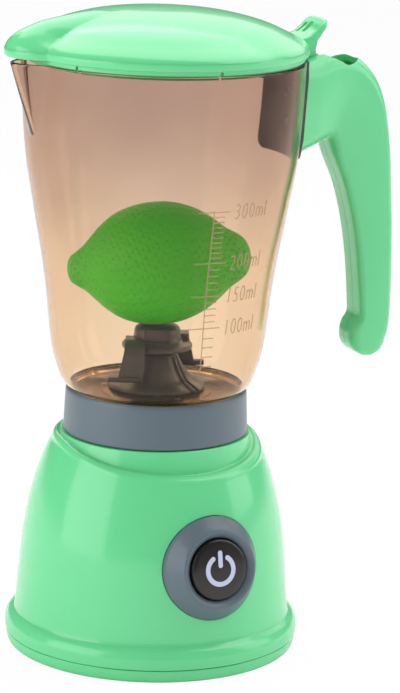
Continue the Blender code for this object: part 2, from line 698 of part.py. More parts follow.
def battery_case():
    """Add the battery tray, two cells and their contacts."""
    half_x, half_y, foot = tray_inner()
    roof = foot + TRAY_HEIGHT
    tray = block("battery_tray", (-half_x - TRAY_WALL, -half_y - TRAY_WALL, foot),
                 (half_x + TRAY_WALL, half_y + TRAY_WALL, roof), "black")
    hollow = block("tray_hollow", (-half_x, -half_y, foot - OVERRUN), (half_x, half_y, roof - TRAY_WALL), "black")
    cut(tray, hollow)
    for number, way in enumerate((1.0, -1.0), 1):
        place = Vector((0.0, -way * (BATTERY_R + 0.5 * GAP), cover_top() + BATTERY_R))
        half = 0.5 * BATTERY_LENGTH
        profile = (
            (0.0, -half), (BATTERY_R, -half), (BATTERY_R, half), (BATTERY_NUB_R, half),
            (BATTERY_NUB_R, half + BATTERY_NUB), (0.0, half + BATTERY_NUB),
        )
        turned(f"battery_{number}", profile, "cell", None, along(place, (way, 0.0, 0.0)))
        plate_x = half_x - GAP - CONTACT_THICK
        spring_seat = Vector((-way * plate_x, place.y, place.z))
        spring = (
            (0.0, 0.0), (SPRING_R, 0.0), (SPRING_TIP_R, half_x - half - CONTACT_THICK - GAP - GAP),
            (0.0, half_x - half - CONTACT_THICK - GAP - GAP),
        )
        turned(f"contact_spring_{number}", spring, "brass", None, along(spring_seat, (way, 0.0, 0.0)), SIDES_TINY)
    plate_low = half_x - CONTACT_THICK - 0.5 * GAP
    plate_high = half_x - 0.5 * GAP
    middle_z = cover_top() + BATTERY_R
    low_z = middle_z - 0.5 * CONTACT_HEIGHT
    high_z = middle_z + 0.5 * CONTACT_HEIGHT
    reach = BATTERY_R + 0.5 * CONTACT_WIDTH
    block("contact_bridge", (plate_low, -reach, low_z), (plate_high, reach, high_z), "brass")
    for number, way in enumerate((1.0, -1.0), 1):
        near = BATTERY_R - 0.5 * CONTACT_WIDTH
        ends = sorted((-way * near, -way * reach))
        block(f"contact_plate_{number}", (-plate_high, ends[0], low_z), (-plate_low, ends[1], high_z), "brass")


def collar_ring():
    """Add the slate collar that the jug stands in."""
    foot = NECK_TOP_Z + GAP
    edge = COLLAR_EDGE
    profile = [
        (COLLAR_FOOT_R, foot), (mix(COLLAR_FOOT_R, COLLAR_TOP_R, 0.5), mix(foot, COLLAR_TOP_Z, 0.5)),
        (COLLAR_TOP_R, COLLAR_TOP_Z - edge), (COLLAR_TOP_R - 0.3 * edge, COLLAR_TOP_Z - 0.3 * edge),
        (COLLAR_TOP_R - edge, COLLAR_TOP_Z), (COLLAR_BORE_R, COLLAR_TOP_Z), (COLLAR_BORE_R, foot + COLLAR_FLOOR),
        (COLLAR_CENTRE_R, foot + COLLAR_FLOOR), (COLLAR_CENTRE_R, foot),
    ]
    collar = turned("collar_ring", profile, "slate", sides=SIDES_LARGE)
    cut(collar, *[rod("collar_hole", SCREW_SHANK_R + GAP, foot - OVERRUN, foot + 0.85 * COLLAR_FLOOR, "slate",
                      None, Matrix.Translation(place)) for place in neck_screw_places()])
    return collar


def motor_group():
    """Add the motor, its holder and the screws that hang it under the neck plate."""
    top = NECK_TOP_Z - NECK_PLATE - GAP
    inner_r = MOTOR_R + GAP
    outer_r = inner_r + HOLDER_WALL
    foot = MOTOR_FOOT_Z - GAP - HOLDER_WALL
    profile = [
        (inner_r, top), (HOLDER_FLANGE_R, top), (HOLDER_FLANGE_R, top - HOLDER_FLANGE),
        (outer_r, top - HOLDER_FLANGE), (outer_r, foot), (HOLDER_HOLE_R, foot), (HOLDER_HOLE_R, foot + HOLDER_WALL),
        (inner_r, foot + HOLDER_WALL),
    ]
    holder = turned("motor_holder", profile, "white", sides=SIDES_SMALL)
    seat = top - HOLDER_FLANGE
    length = NECK_TOP_Z + GAP + 0.7 * COLLAR_FLOOR - seat
    cut(holder, *[rod("holder_hole", SCREW_SHANK_R + GAP, seat - OVERRUN, top + OVERRUN, "white", None,
                      Matrix.Translation(place)) for place in neck_screw_places()])
    for number, place in enumerate(neck_screw_places(), 1):
        screw(f"neck_screw_{number}", place + Vector((0.0, 0.0, seat)), (0.0, 0.0, -1.0), length)
    can_top = MOTOR_FOOT_Z + MOTOR_LENGTH
    bore = SHAFT_R + RUNNING_GAP
    can = [
        (0.0, MOTOR_FOOT_Z), (MOTOR_R, MOTOR_FOOT_Z), (MOTOR_R, can_top), (MOTOR_BOSS_R, can_top),
        (MOTOR_BOSS_R, can_top + MOTOR_BOSS), (bore, can_top + MOTOR_BOSS), (bore, SHAFT_FOOT_Z - GAP),
        (0.0, SHAFT_FOOT_Z - GAP),
    ]
    turned("motor_can", can, "steel")


def dogs(name, low, high, turn, colour):
    """Add the hidden coupling teeth as separate wedges and return them."""
    made = []
    for number in range(DOG_COUNT):
        middle = turn + 2.0 * math.pi * number / DOG_COUNT
        half = 0.5 * math.radians(DOG_SPAN_DEG)
        mesh_data = bmesh.new()
        rings = []
        for height in (low, high):
            points = [round_place(DOG_INNER_R, height, middle - half), round_place(DOG_OUTER_R, height, middle - half)]
            points += [round_place(DOG_OUTER_R, height, middle), round_place(DOG_OUTER_R, height, middle + half)]
            points += [round_place(DOG_INNER_R, height, middle + half)]
            rings.append([mesh_data.verts.new(point) for point in points])
        bridge(mesh_data, rings[0], rings[1])
        mesh_data.faces.new(rings[0])
        mesh_data.faces.new(rings[1])
        made.append(add_object(f"{name}_{number + 1}", mesh_data, colour))
    return made


def motor_drive(axis):
    """Add the motor shaft and the toothed coupling that it turns."""
    low = MOTOR_COUPLING_Z
    high = low + COUPLING_DISC
    hub_top = high + COUPLING_HUB
    shaft_top = hub_top - SHAFT_R - GAP
    rod("motor_shaft", SHAFT_R, SHAFT_FOOT_Z, shaft_top, "steel", axis)
    bore = SHAFT_R + GAP
    profile = [
        (0.0, shaft_top + GAP), (bore, shaft_top + GAP), (bore, low), (COUPLING_R, low), (COUPLING_R, high),
        (COUPLING_HUB_R, high), (COUPLING_HUB_R, hub_top), (0.0, hub_top),
    ]
    coupling = turned("motor_coupling", profile, "white", axis, sides=SIDES_SMALL)
    join(coupling, *dogs("motor_dog", high - 0.5 * COUPLING_DISC, high + DOG_H, 0.0, "white"))


def jug():
    """Add the smoky jug with its spout, its floor and two posts for the handle bracket."""
    angles = spout_angles()
    span = JUG_RIM_Z - JUG_SEAT_Z
    foot = JUG_FLOOR_Z - JUG_FLOOR
    outside = [(SPIGOT_R, foot), (SPIGOT_R, JUG_SEAT_Z)]
    for rise, share in JUG_SHARES:
        outside.append((mix(JUG_FOOT_R, JUG_RIM_R, share), JUG_SEAT_Z + span * rise))
    inside = []
    for rise, share in reversed(JUG_SHARES[2:]):
        inside.append((mix(JUG_FOOT_R, JUG_RIM_R, share) - JUG_WALL, JUG_SEAT_Z + span * rise))
    inside += [
        (mix(JUG_FLOOR_R, JUG_FOOT_R, 0.80), JUG_FLOOR_Z + 2.2 * JUG_FILLET),
        (mix(JUG_FLOOR_R, JUG_FOOT_R, 0.48), JUG_FLOOR_Z + 1.25 * JUG_FILLET),
        (JUG_FLOOR_R, JUG_FLOOR_Z + 0.25 * JUG_FILLET), (JUG_FLOOR_R - JUG_FILLET, JUG_FLOOR_Z),
        (BUSH_R + GAP, JUG_FLOOR_Z), (BUSH_R + GAP, foot),
    ]
    body = add_object("jug", skin(make_rings(outside + inside, angles, spout_place)), "smoke")
    frames = [along(place, (1.0, 0.0, 0.0)) for place in bracket_screw_places()]
    post = PAD_THICK + GAP + BRACKET_THICK
    join(body, *[rod("jug_post", BRACKET_POST_R, -0.5 * JUG_WALL, post, "smoke", None, frame) for frame in frames])
    holes = [rod("jug_post_hole", SCREW_SHANK_R + GAP, -0.25 * JUG_WALL, post + OVERRUN, "smoke", None, frame)
             for frame in frames]
    for place in spigot_screw_places():
        holes.append(rod("floor_hole", SCREW_SHANK_R + GAP, -OVERRUN, SPIGOT_SCREW_BITE + GAP, "smoke", None,
                         Matrix.Translation(place + Vector((0.0, 0.0, foot)))))
    cut(body, *holes)
    return body


def spigot_screw_places():
    """Return the axis points, at height 0, of the screws that hold the spigot under the jug."""
    angles = [angle + math.radians(30.0) for angle in even_angles(SPIGOT_SCREW_COUNT)]
    return [round_place(SPIGOT_SCREW_CIRCLE_R, 0.0, angle) for angle in angles]


def jug_spigot(parent):
    """Add the dark spigot under the jug, which stands in the collar round the couplings, and its screws."""
    top = JUG_FLOOR_Z - JUG_FLOOR - GAP
    seat = top - SPIGOT_PLATE
    profile = [
        (SPIGOT_R - SPIGOT_WALL, SPIGOT_Z), (SPIGOT_R, SPIGOT_Z), (SPIGOT_R, top), (SPIGOT_HOLE_R, top),
        (SPIGOT_HOLE_R, seat), (SPIGOT_R - SPIGOT_WALL, seat),
    ]
    spigot = turned("jug_spigot", profile, "dark_smoke", parent, sides=SIDES_LARGE)
    holes = []
    length = SPIGOT_PLATE + GAP + SPIGOT_SCREW_BITE
    for number, place in enumerate(spigot_screw_places(), 1):
        holes.append(rod("spigot_hole", SCREW_SHANK_R + GAP, seat - OVERRUN, top + OVERRUN, "dark_smoke", None,
                         Matrix.Translation(place)))
        screw(f"spigot_screw_{number}", place + Vector((0.0, 0.0, seat)), (0.0, 0.0, -1.0), length, parent)
    cut(spigot, *holes)


def bracket_screw_places():
    """Return each bracket screw's point on the jug wall."""
    heights = [mix(BRACKET_FOOT_Z, BRACKET_TOP_Z, share) for share in BRACKET_SCREW_SHARES]
    return [Vector((jug_radius(height), 0.0, height)) for height in heights]


def jug_bush():
    """Add the bush that the spindle turns in."""
    top = JUG_FLOOR_Z + GAP
    profile = [
        (BUSH_BORE_R, JUG_FLOOR_Z - JUG_FLOOR - GAP), (BUSH_R, JUG_FLOOR_Z - JUG_FLOOR - GAP), (BUSH_R, top),
        (BUSH_FLANGE_R, top), (BUSH_FLANGE_R, top + BUSH_FLANGE), (BUSH_BORE_R, top + BUSH_FLANGE),
    ]
    turned("jug_bush", profile, "brass")


def spindle_cone():
    """Add the fixed cone that covers the spindle on the jug's floor."""
    foot = JUG_FLOOR_Z + GAP
    outside = [(mix(CONE_TOP_R, CONE_FOOT_R, share), mix(foot, CONE_TOP_Z, rise)) for rise, share in CONE_SHARES]
    roof = CONE_TOP_Z - CONE_WALL
    inside = [(CONE_BORE_R, CONE_TOP_Z), (CONE_BORE_R, roof)]
    for rise, share in reversed(CONE_SHARES[:-1]):
        radius = mix(CONE_TOP_R, CONE_FOOT_R, share) - CONE_WALL
        height = min(mix(foot, CONE_TOP_Z, rise), roof) - 0.5 * CONE_WALL
        inside.append((radius, max(height, foot)))
    return turned("spindle_cone", outside + inside[:-1], "dark_smoke", sides=32)


def impeller_group(axis):
    """Add the impeller, its spindle and the toothed coupling under the jug's floor."""
    bore = SPINDLE_R + GAP
    top = HUB_PLATE_Z + HUB_PLATE
    hub = [(HUB_R * share_r, mix(top, HUB_TOP_Z, share_z)) for share_r, share_z in HUB_SHARES]
    profile = hub + [
        (HUB_PLATE_R, top), (HUB_PLATE_R, HUB_PLATE_Z), (bore, HUB_PLATE_Z), (bore, SPINDLE_TOP_Z + GAP),
        (0.0, SPINDLE_TOP_Z + GAP),
    ]
    impeller = turned("impeller", profile, "dark_smoke", axis, sides=32)
    blades = []
    for angle in BLADE_ANGLES_DEG:
        blades += blade_shapes(Matrix.Rotation(math.radians(angle), 4, "Z"))
    join(impeller, *blades)
    rod("impeller_spindle", SPINDLE_R, SPINDLE_FOOT_Z, SPINDLE_TOP_Z, "steel", axis)
    high = JUG_COUPLING_TOP_Z
    low = high - COUPLING_DISC
    bore_foot = SPINDLE_FOOT_Z - GAP
    hub_foot = MOTOR_COUPLING_Z + COUPLING_DISC + COUPLING_HUB + GAP
    profile = [
        (0.0, bore_foot), (bore, bore_foot), (bore, high), (COUPLING_R, high), (COUPLING_R, low),
        (COUPLING_HUB_R, low), (COUPLING_HUB_R, hub_foot), (0.0, hub_foot),
    ]
    coupling = turned("jug_coupling", profile, "white", axis, sides=SIDES_SMALL)
    tip = MOTOR_COUPLING_Z + COUPLING_DISC + GAP
    join(coupling, *dogs("jug_dog", tip, low + 0.5 * COUPLING_DISC, math.pi / DOG_COUNT, "white"))


def blade_shapes(turn):
    """Add the hidden shapes of one blade, a swept arm bent down to a foot, and return them."""
    low = HUB_PLATE_Z
    top = HUB_PLATE_Z + HUB_PLATE
    inner = BLADE_FACE - BLADE_THICK
    outline = [
        (0.3 * HUB_R, low), (0.3 * HUB_R, top), (BLADE_FACE - 0.9 * BLADE_THICK, top),
        (BLADE_FACE - 0.25 * BLADE_THICK, top - 0.3 * BLADE_THICK), (BLADE_FACE, top - BLADE_THICK),
        (BLADE_FACE, BLADE_FOOT_Z), (inner, BLADE_FOOT_Z), (inner, low),
    ]
    middle = -0.5 * (BLADE_NEAR_SIDE + BLADE_FAR_SIDE)
    half = 0.5 * (BLADE_FAR_SIDE - BLADE_NEAR_SIDE)
    arm = prism("blade_arm", outline, [half] * len(outline), "dark_smoke", None,
                turn @ Matrix.Translation((0.0, middle, 0.0)))
    foot = block("blade_foot", (inner + 0.2 * BLADE_THICK, -BLADE_FAR_SIDE - BLADE_FOOT_SIDE, BLADE_FOOT_Z),
                 (BLADE_FACE + BLADE_FOOT, 0.1 * BLADE_THICK - BLADE_NEAR_SIDE, BLADE_FOOT_Z + BLADE_FOOT_H),
                 "dark_smoke", None, turn)
    join(arm, foot)
    return [arm]


def lime(axis):
    """Add the toy lime that stands on the impeller's hub."""
    rings = [[Vector((-0.5 * LIME_LENGTH, 0.0, 0.0))]]
    for along_share, radius_share in LIME_SHARES:
        ring = []
        for angle in even_angles(24):
            radius = LIME_R * radius_share
            ring.append(Vector((LIME_LENGTH * (along_share - 0.5), radius * math.cos(angle), radius * math.sin(angle))))
        rings.append(ring)
    rings.append([Vector((0.5 * LIME_LENGTH, 0.0, 0.0))])
    place = Matrix.Translation((0.0, 0.0, HUB_TOP_Z + GAP + LIME_R))
    turn = Matrix.Rotation(math.radians(LIME_TURN_DEG), 4, "Z") @ Matrix.Rotation(
        math.radians(-LIME_TILT_DEG), 4, "Y")
    return add_object("lime", skin(rings), "green", axis, place @ turn)


def lid_place(radius, height, angle):
    """Return a lid point: the outline with its nose, drawn in towards a shifted centre."""
    share = radius / LID_LIP_R
    reach = radius + LID_NOSE * share * bulge(angle, math.radians(LID_NOSE_HALF_DEG))
    shift = LID_SHIFT * max(0.0, 1.0 - share)
    return round_place(reach, height, angle) + Vector((shift, 0.0, 0.0))


def lid(axis):
    """Add the domed lid with its nose, seat band, skirt, hinge knuckle and thumb tab."""
    angles = spout_angles()
    rise = LID_TOP_Z - LID_LIP_TOP_Z
    dome = [(LID_LIP_R * share, LID_LIP_TOP_Z + rise * up) for share, up in LID_DOME_SHARES]
    outside = [(0.0, LID_TOP_Z)] + dome[::-1] + [
        (LID_LIP_R, LID_LIP_TOP_Z - LID_EDGE), (LID_LIP_R - 0.4 * LID_EDGE, LID_LIP_Z + LID_EDGE),
        (LID_LIP_R - 1.6 * LID_EDGE, LID_LIP_Z),
    ]
    skirt_r = JUG_RIM_R - JUG_WALL - GAP - GAP
    inner_r = skirt_r - LID_SKIRT_WALL
    band_z = JUG_RIM_Z + GAP
    band = [
        (LID_BAND_R, LID_LIP_Z), (LID_BAND_R, band_z), (skirt_r, band_z), (skirt_r, LID_SKIRT_FOOT_Z),
        (inner_r, LID_SKIRT_FOOT_Z), (inner_r, LID_LIP_Z),
    ]
    roof = [(inner_r * share, LID_LIP_TOP_Z + rise * up - LID_WALL) for share, up in LID_DOME_SHARES[2:]]
    rings = make_rings(outside, angles, lid_place) + make_rings(band, angles)
    rings += make_rings(roof, angles, lid_place) + [[Vector((0.0, 0.0, LID_TOP_Z - LID_WALL))]]
    body = add_object("lid", skin(rings), "mint", axis)
    slot_angles = [angle + math.pi / LID_SLOT_COUNT for angle in even_angles(LID_SLOT_COUNT)]
    low = (inner_r - OVERRUN, -0.5 * LID_SLOT_WIDTH, LID_SKIRT_FOOT_Z - OVERRUN)
    high = (LID_BAND_R + 0.5 * LID_EDGE, 0.5 * LID_SLOT_WIDTH, LID_LIP_Z - GAP)
    holes = [block("skirt_slot", low, high, "mint", None, Matrix.Rotation(angle, 4, "Z")) for angle in slot_angles]
    holes.append(rod("knuckle_hole", HINGE_PIN_R + GAP, -TAB_HALF_WIDTH - OVERRUN, TAB_HALF_WIDTH + OVERRUN, "mint",
                     None, along(Vector((HINGE_X, 0.0, HINGE_Z)), (0.0, 1.0, 0.0))))
    join(body, thumb_tab())
    for way in (-0.5, 0.5):
        low = (-0.6 * TAB_GROOVE_LENGTH, way * TAB_GROOVE_SPACING - 0.5 * TAB_GROOVE_WIDTH, -TAB_GROOVE)
        high = (0.4 * TAB_GROOVE_LENGTH, way * TAB_GROOVE_SPACING + 0.5 * TAB_GROOVE_WIDTH, TAB_THICK)
        holes.append(block("grip_slot", low, high, "mint", None, tab_frame()))
    cut(body, *holes)
    return body


def tab_frame():
    """Return the frame of the thumb tab's face: local +X up along it and +Z out of it."""
    neck_z = LID_LIP_TOP_Z + 0.5 * LID_WALL
    low = Vector((mix(LID_LIP_R, TAB_TOP_X, 0.60), 0.0, mix(neck_z, TAB_TOP_Z, 0.46)))
    high = Vector((TAB_TOP_X - 0.95 * TAB_THICK, 0.0, TAB_TOP_Z - 0.40 * TAB_THICK))
    run = (high - low).normalized()
    across = Vector((0.0, 1.0, 0.0))
    return Matrix.Translation(0.5 * (low + high)) @ Matrix((run, across, run.cross(across))).transposed().to_4x4()


def thumb_tab():
    """Add the hidden block that grows the hinge knuckle and thumb tab on the lid."""
    inner_x = LID_LIP_R - 1.2 * LID_WALL
    knuckle = []
    for degrees in (20.0, -20.0, -60.0, -100.0, -140.0, -180.0):
        angle = math.radians(degrees)
        knuckle.append((HINGE_X + KNUCKLE_R * math.cos(angle), HINGE_Z + KNUCKLE_R * math.sin(angle)))
    top_x = TAB_TOP_X
    top_z = TAB_TOP_Z
    neck_z = LID_LIP_TOP_Z + 0.5 * LID_WALL
    lean_x = mix(HINGE_X, top_x, 0.36)
    lean_z = mix(HINGE_Z, top_z, 0.50)
    outline = [
        (inner_x, LID_LIP_Z + GAP), (inner_x, neck_z), (LID_LIP_R + 0.2 * LID_WALL, neck_z - 0.1 * LID_WALL),
        (mix(LID_LIP_R, top_x, 0.34), mix(neck_z, top_z, 0.10)), (mix(LID_LIP_R, top_x, 0.60), mix(neck_z, top_z, 0.46)),
        (top_x - 0.95 * TAB_THICK, top_z - 0.40 * TAB_THICK), (top_x - 0.60 * TAB_THICK, top_z),
        (top_x, top_z - 0.1 * TAB_THICK), (top_x + 0.3 * TAB_THICK, top_z - 0.9 * TAB_THICK),
        (mix(lean_x, top_x, 0.60), mix(lean_z, top_z, 0.28)), (lean_x, lean_z - 0.9 * TAB_THICK),
    ]
    outline += knuckle + [(HINGE_X - KNUCKLE_R, LID_LIP_Z + GAP)]
    wide = TAB_HALF_WIDTH
    width_shares = (1.0, 1.0, 1.0, 1.0, 0.98, 0.80, 0.62, 0.62, 0.80, 1.0, 1.0)
    widths = [wide * share for share in width_shares]
    widths += [wide] * (len(outline) - len(widths))
    return prism("tab_block", outline, widths, "mint")


def handle_point(share_x, share_z):
    """Return the x and z of a point given as shares of the handle's reach and height."""
    return mix(JUG_RIM_R, HANDLE_REACH, share_x), mix(HANDLE_FOOT_Z, HANDLE_TOP_Z, share_z)


def wall_x(offset, height, out=PAD_THICK + GAP):
    """Return where the handle's root stands at an offset from the seam, on the pad on the jug wall."""
    radius = jug_radius(height) + GAP + out
    return math.sqrt(radius * radius - offset * offset)


def section(station, way, inset):
    """Return one half cross-section of the handle as points from inner seam to outer seam."""
    inner_x, inner_z = handle_point(station[0], station[1])
    outer_x, outer_z = handle_point(station[2], station[3])
    start = Vector((inner_x, 0.0, inner_z))
    run = Vector((outer_x - inner_x, 0.0, outer_z - inner_z))
    length = run.length
    step = run / length
    wide = HANDLE_ROOT_HALF * station[4]
    corner = max(HANDLE_CORNER_SHARE * min(wide, 0.5 * length), 1.15 * inset)
    half = wide - inset
    shapes = [
        (inset, SEAM_GAP), (inset, wide - corner), (mix(inset, corner, 0.3), mix(half, wide - corner, 0.3)),
        (corner, half), (length - corner, half), (length - mix(inset, corner, 0.3), mix(half, wide - corner, 0.3)),
        (length - inset, wide - corner), (length - inset, SEAM_GAP),
    ]
    return [start + step * across + Vector((0.0, way * out, 0.0)) for across, out in shapes]


def against_wall(points):
    """Move the points of the handle's root onto the jug wall."""
    return [Vector((wall_x(point.y, point.z), point.y, point.z)) for point in points]


def strip(mesh_data, first, second):
    """Join two open rows of vertices."""
    for step in range(len(first) - 1):
        mesh_data.faces.new((first[step], first[step + 1], second[step + 1], second[step]))


def handle_half(name, way, parent):
    """Add one hollow half of the handle."""
    mesh_data = bmesh.new()
    outer = [section(station, way, 0.0) for station in HANDLE_SHARES]
    inner = [section(station, way, HANDLE_WALL) for station in HANDLE_SHARES[:-2]]
    outer[0] = against_wall(outer[0])
    inner[0] = against_wall(inner[0])
    outer_rows = [[mesh_data.verts.new(point) for point in row] for row in outer]
    inner_rows = [[mesh_data.verts.new(point) for point in row] for row in inner]
    for rows in (outer_rows, inner_rows):
        for first, second in zip(rows, rows[1:]):
            strip(mesh_data, first, second)
    strip(mesh_data, outer_rows[0], inner_rows[0])
    for end in (0, -1):
        outer_edge = [row[end] for row in outer_rows]
        inner_edge = [row[end] for row in inner_rows]
        strip(mesh_data, outer_edge[:len(inner_edge)], inner_edge)
    last = len(inner_rows) - 1
    rest = [row[0] for row in outer_rows[last:]] + [row[-1] for row in reversed(outer_rows[last:])]
    mesh_data.faces.new(rest + [inner_rows[last][-1], inner_rows[last][0]])
    mesh_data.faces.new(outer_rows[-1])
    mesh_data.faces.new(inner_rows[-1])
    half = add_object(name, mesh_data, "mint", parent)
    solids = []
    holes = [top_opening("opening")]
    hole_r = SCREW_SHANK_R + GAP
    for number, (share_x, share_z, width_share) in enumerate(HANDLE_SCREW_SHARES, 1):
        x, z = handle_point(share_x, share_z)
        side = HANDLE_ROOT_HALF * width_share
        frame = along(Vector((x, 0.0, z)), (0.0, way, 0.0))
        solids.append(rod("boss", HANDLE_BOSS_R, SEAM_GAP, side - 0.5 * HANDLE_WALL, "mint", None, frame))
        if way > 0.0:
            seat = side - SCREW_HEAD_H - HANDLE_WALL * 0.4
            holes.append(stepped_hole("well", hole_r, SCREW_HEAD_R + GAP, -OVERRUN, seat, side + OVERRUN, frame))
            screw(f"handle_screw_{number}", Vector((x, seat, z)), (0.0, 1.0, 0.0), seat + HANDLE_SCREW_BITE, parent)
        else:
            holes.append(rod("hole", hole_r, -OVERRUN, HANDLE_SCREW_BITE + GAP, "mint", None, frame))
    ear_frame = along(Vector((HINGE_X, 0.0, HINGE_Z)), (0.0, way, 0.0))
    ear_foot = TOP_OPENING_HALF + GAP
    ear_top = HINGE_PIN_HALF + GAP
    outline = [(HINGE_X + KNUCKLE_R * out, HINGE_Z + KNUCKLE_R * up) for out, up in EAR_SHARES]
    middle = Matrix.Translation((0.0, way * 0.5 * (ear_foot + ear_top + GAP), 0.0))
    solids.append(prism("ear", outline, [0.5 * (ear_top + GAP - ear_foot)] * 4, "mint", None, middle))
    join(half, *solids)
    cut(half, rod("ear_hole", HINGE_PIN_R + GAP, TAB_HALF_WIDTH, ear_top, "mint", None, ear_frame))
    cut(half, *holes)
    return half


def top_opening(name):
    """Add the hidden tool for the opening that the knuckle sits in and the tab dips into."""
    mesh_data = bmesh.new()
    start = JUG_RIM_R - TOP_OPENING_HALF
    straight = TOP_OPENING_END_X - TOP_OPENING_HALF
    outline = [(start, -TOP_OPENING_HALF)]
    for degrees in (-90.0, -60.0, -30.0, 0.0, 30.0, 60.0, 90.0):
        angle = math.radians(degrees)
        outline.append((straight + TOP_OPENING_HALF * math.cos(angle), TOP_OPENING_HALF * math.sin(angle)))
    outline.append((start, TOP_OPENING_HALF))
    top = HANDLE_TOP_Z + OVERRUN
    rings = [[mesh_data.verts.new((x, y, z)) for x, y in outline] for z in (TOP_OPENING_FOOT_Z, top)]
    bridge(mesh_data, rings[0], rings[1])
    mesh_data.faces.new(rings[0])
    mesh_data.faces.new(rings[1])
    return add_object(name, mesh_data, "mint")


def curved_plate(name, heights, halves, low, high, parent):
    """Add a plate that follows the jug wall, with a half width at each height.

    low and high are the distances of its two faces from the clearance on the wall.
    """
    mesh_data = bmesh.new()
    rings = []
    for height, half in zip(heights, halves):
        offsets = [share * half for share in (-1.0, -0.6, -0.2, 0.2, 0.6, 1.0)]
        near = [(wall_x(offset, height, low), offset, height) for offset in offsets]
        far = [(wall_x(offset, height, high), offset, height) for offset in offsets]
        rings.append([mesh_data.verts.new(point) for point in near + far[::-1]])
    for first, second in zip(rings, rings[1:]):
        bridge(mesh_data, first, second)
    for ring in (rings[0], rings[-1]):
        count = len(ring) // 2
        strip(mesh_data, ring[:count], ring[:count - 1:-1])
    return add_object(name, mesh_data, "dark_smoke", parent)


def handle_pad(parent):
    """Add the dark pad that the handle's root stands on."""
    heights = []
    halves = []
    for degrees in (0.0, 30.0, 60.0, 90.0):
        angle = math.radians(degrees)
        heights.append(PAD_FOOT_Z + PAD_ROUND * (1.0 - math.cos(angle)))
        halves.append(PAD_HALF - PAD_ROUND * (1.0 - math.sin(angle)))
    heights += [mix(PAD_FOOT_Z, PAD_TOP_Z, 0.5), PAD_TOP_Z]
    halves += [PAD_HALF, PAD_HALF]
    pad = curved_plate("handle_pad", heights, halves, 0.0, PAD_THICK, parent)
    cut(pad, *[rod("pad_hole", BRACKET_POST_R + GAP, -OVERRUN, PAD_THICK + OVERRUN, "dark_smoke", None,
                   along(place, (1.0, 0.0, 0.0))) for place in bracket_screw_places()])


def handle_bracket(parent):
    """Add the plate that ties the handle to the jug, and its screws."""
    half = HANDLE_ROOT_HALF - 2.0 * HANDLE_WALL
    heights = (BRACKET_FOOT_Z, mix(BRACKET_FOOT_Z, BRACKET_TOP_Z, 0.5), BRACKET_TOP_Z)
    back = PAD_THICK + GAP
    bracket = curved_plate("handle_bracket", heights, [half] * len(heights), back, back + BRACKET_THICK - GAP, parent)
    holes = []
    for number, place in enumerate(bracket_screw_places(), 1):
        frame = along(place, (1.0, 0.0, 0.0))
        holes.append(rod("bracket_hole", BRACKET_POST_R + GAP, -OVERRUN, back + BRACKET_THICK + OVERRUN + OVERRUN,
                         "dark_smoke", None, frame))
        seat = place + Vector((back + BRACKET_THICK + GAP, 0.0, 0.0))
        screw(f"bracket_screw_{number}", seat, (1.0, 0.0, 0.0), BRACKET_THICK, parent)
    cut(bracket, *holes)


def button_frame():
    """Return the frame of the button: origin on the bezel's ridge, local +Z outwards."""
    turn = math.radians(BUTTON_TURN_DEG)
    tilt = math.radians(BUTTON_TILT_DEG)
    flat = Vector((math.sin(turn), -math.cos(turn), 0.0))
    outward = flat * math.cos(tilt) + Vector((0.0, 0.0, math.sin(tilt)))
    across = Vector((0.0, 0.0, 1.0)).cross(outward).normalized()
    upward = outward.cross(across)
    place = flat * (dome_radius(BUTTON_Z) + BUTTON_STAND_OUT) + Vector((0.0, 0.0, BUTTON_Z))
    frame = Matrix((across, upward, outward)).transposed().to_4x4()
    return Matrix.Translation(place) @ frame


def shell_depth(radius, angle):
    """Return how far along the button's axis the shell's outer face lies at a point of the bezel."""
    frame = button_frame()
    low = -0.5 * DOME_FOOT_R
    high = 0.2 * DOME_FOOT_R
    for _ in range(40):
        middle = 0.5 * (low + high)
        point = frame @ round_place(radius, middle, angle)
        if math.hypot(point.x, point.y) > dome_radius(point.z):
            high = middle
        else:
            low = middle
    return low


def bezel():
    """Add the slate ring round the button, whose outer edge follows the shell."""
    angles = even_angles(40)
    lip = []
    cone = []
    foot = []
    under = []
    for angle in angles:
        edge = shell_depth(BEZEL_R, angle) + GAP
        near = shell_depth(BEZEL_TUBE_R, angle) + GAP
        lip.append(round_place(BEZEL_R - 0.4 * BEZEL_LIP, edge + BEZEL_LIP, angle))
        cone.append(round_place(mix(BEZEL_RIDGE_R, BEZEL_R, 0.5), 0.5 * (edge + BEZEL_LIP), angle))
        foot.append(round_place(BEZEL_R, edge, angle))
        under.append(round_place(BEZEL_TUBE_R, near, angle))
    bore = BUTTON_R + GAP
    inside = make_rings([
        (bore, -BEZEL_TUBE_FOOT), (bore, -BEZEL_BEVEL), (BEZEL_RIDGE_R - BEZEL_RIDGE_FLAT, 0.0),
        (BEZEL_RIDGE_R + BEZEL_RIDGE_FLAT, 0.0),
    ], angles)
    middle = []
    for angle in angles:
        mid_r = mix(BEZEL_TUBE_R, BEZEL_R, 0.5)
        middle.append(round_place(mid_r, shell_depth(mid_r, angle) + GAP, angle))
    rings = inside + [cone, lip, foot, middle, under]
    rings += make_rings([(BEZEL_TUBE_R, -BEZEL_TUBE_FOOT)], angles)
    return add_object("bezel", skin(rings), "slate", None, button_frame())


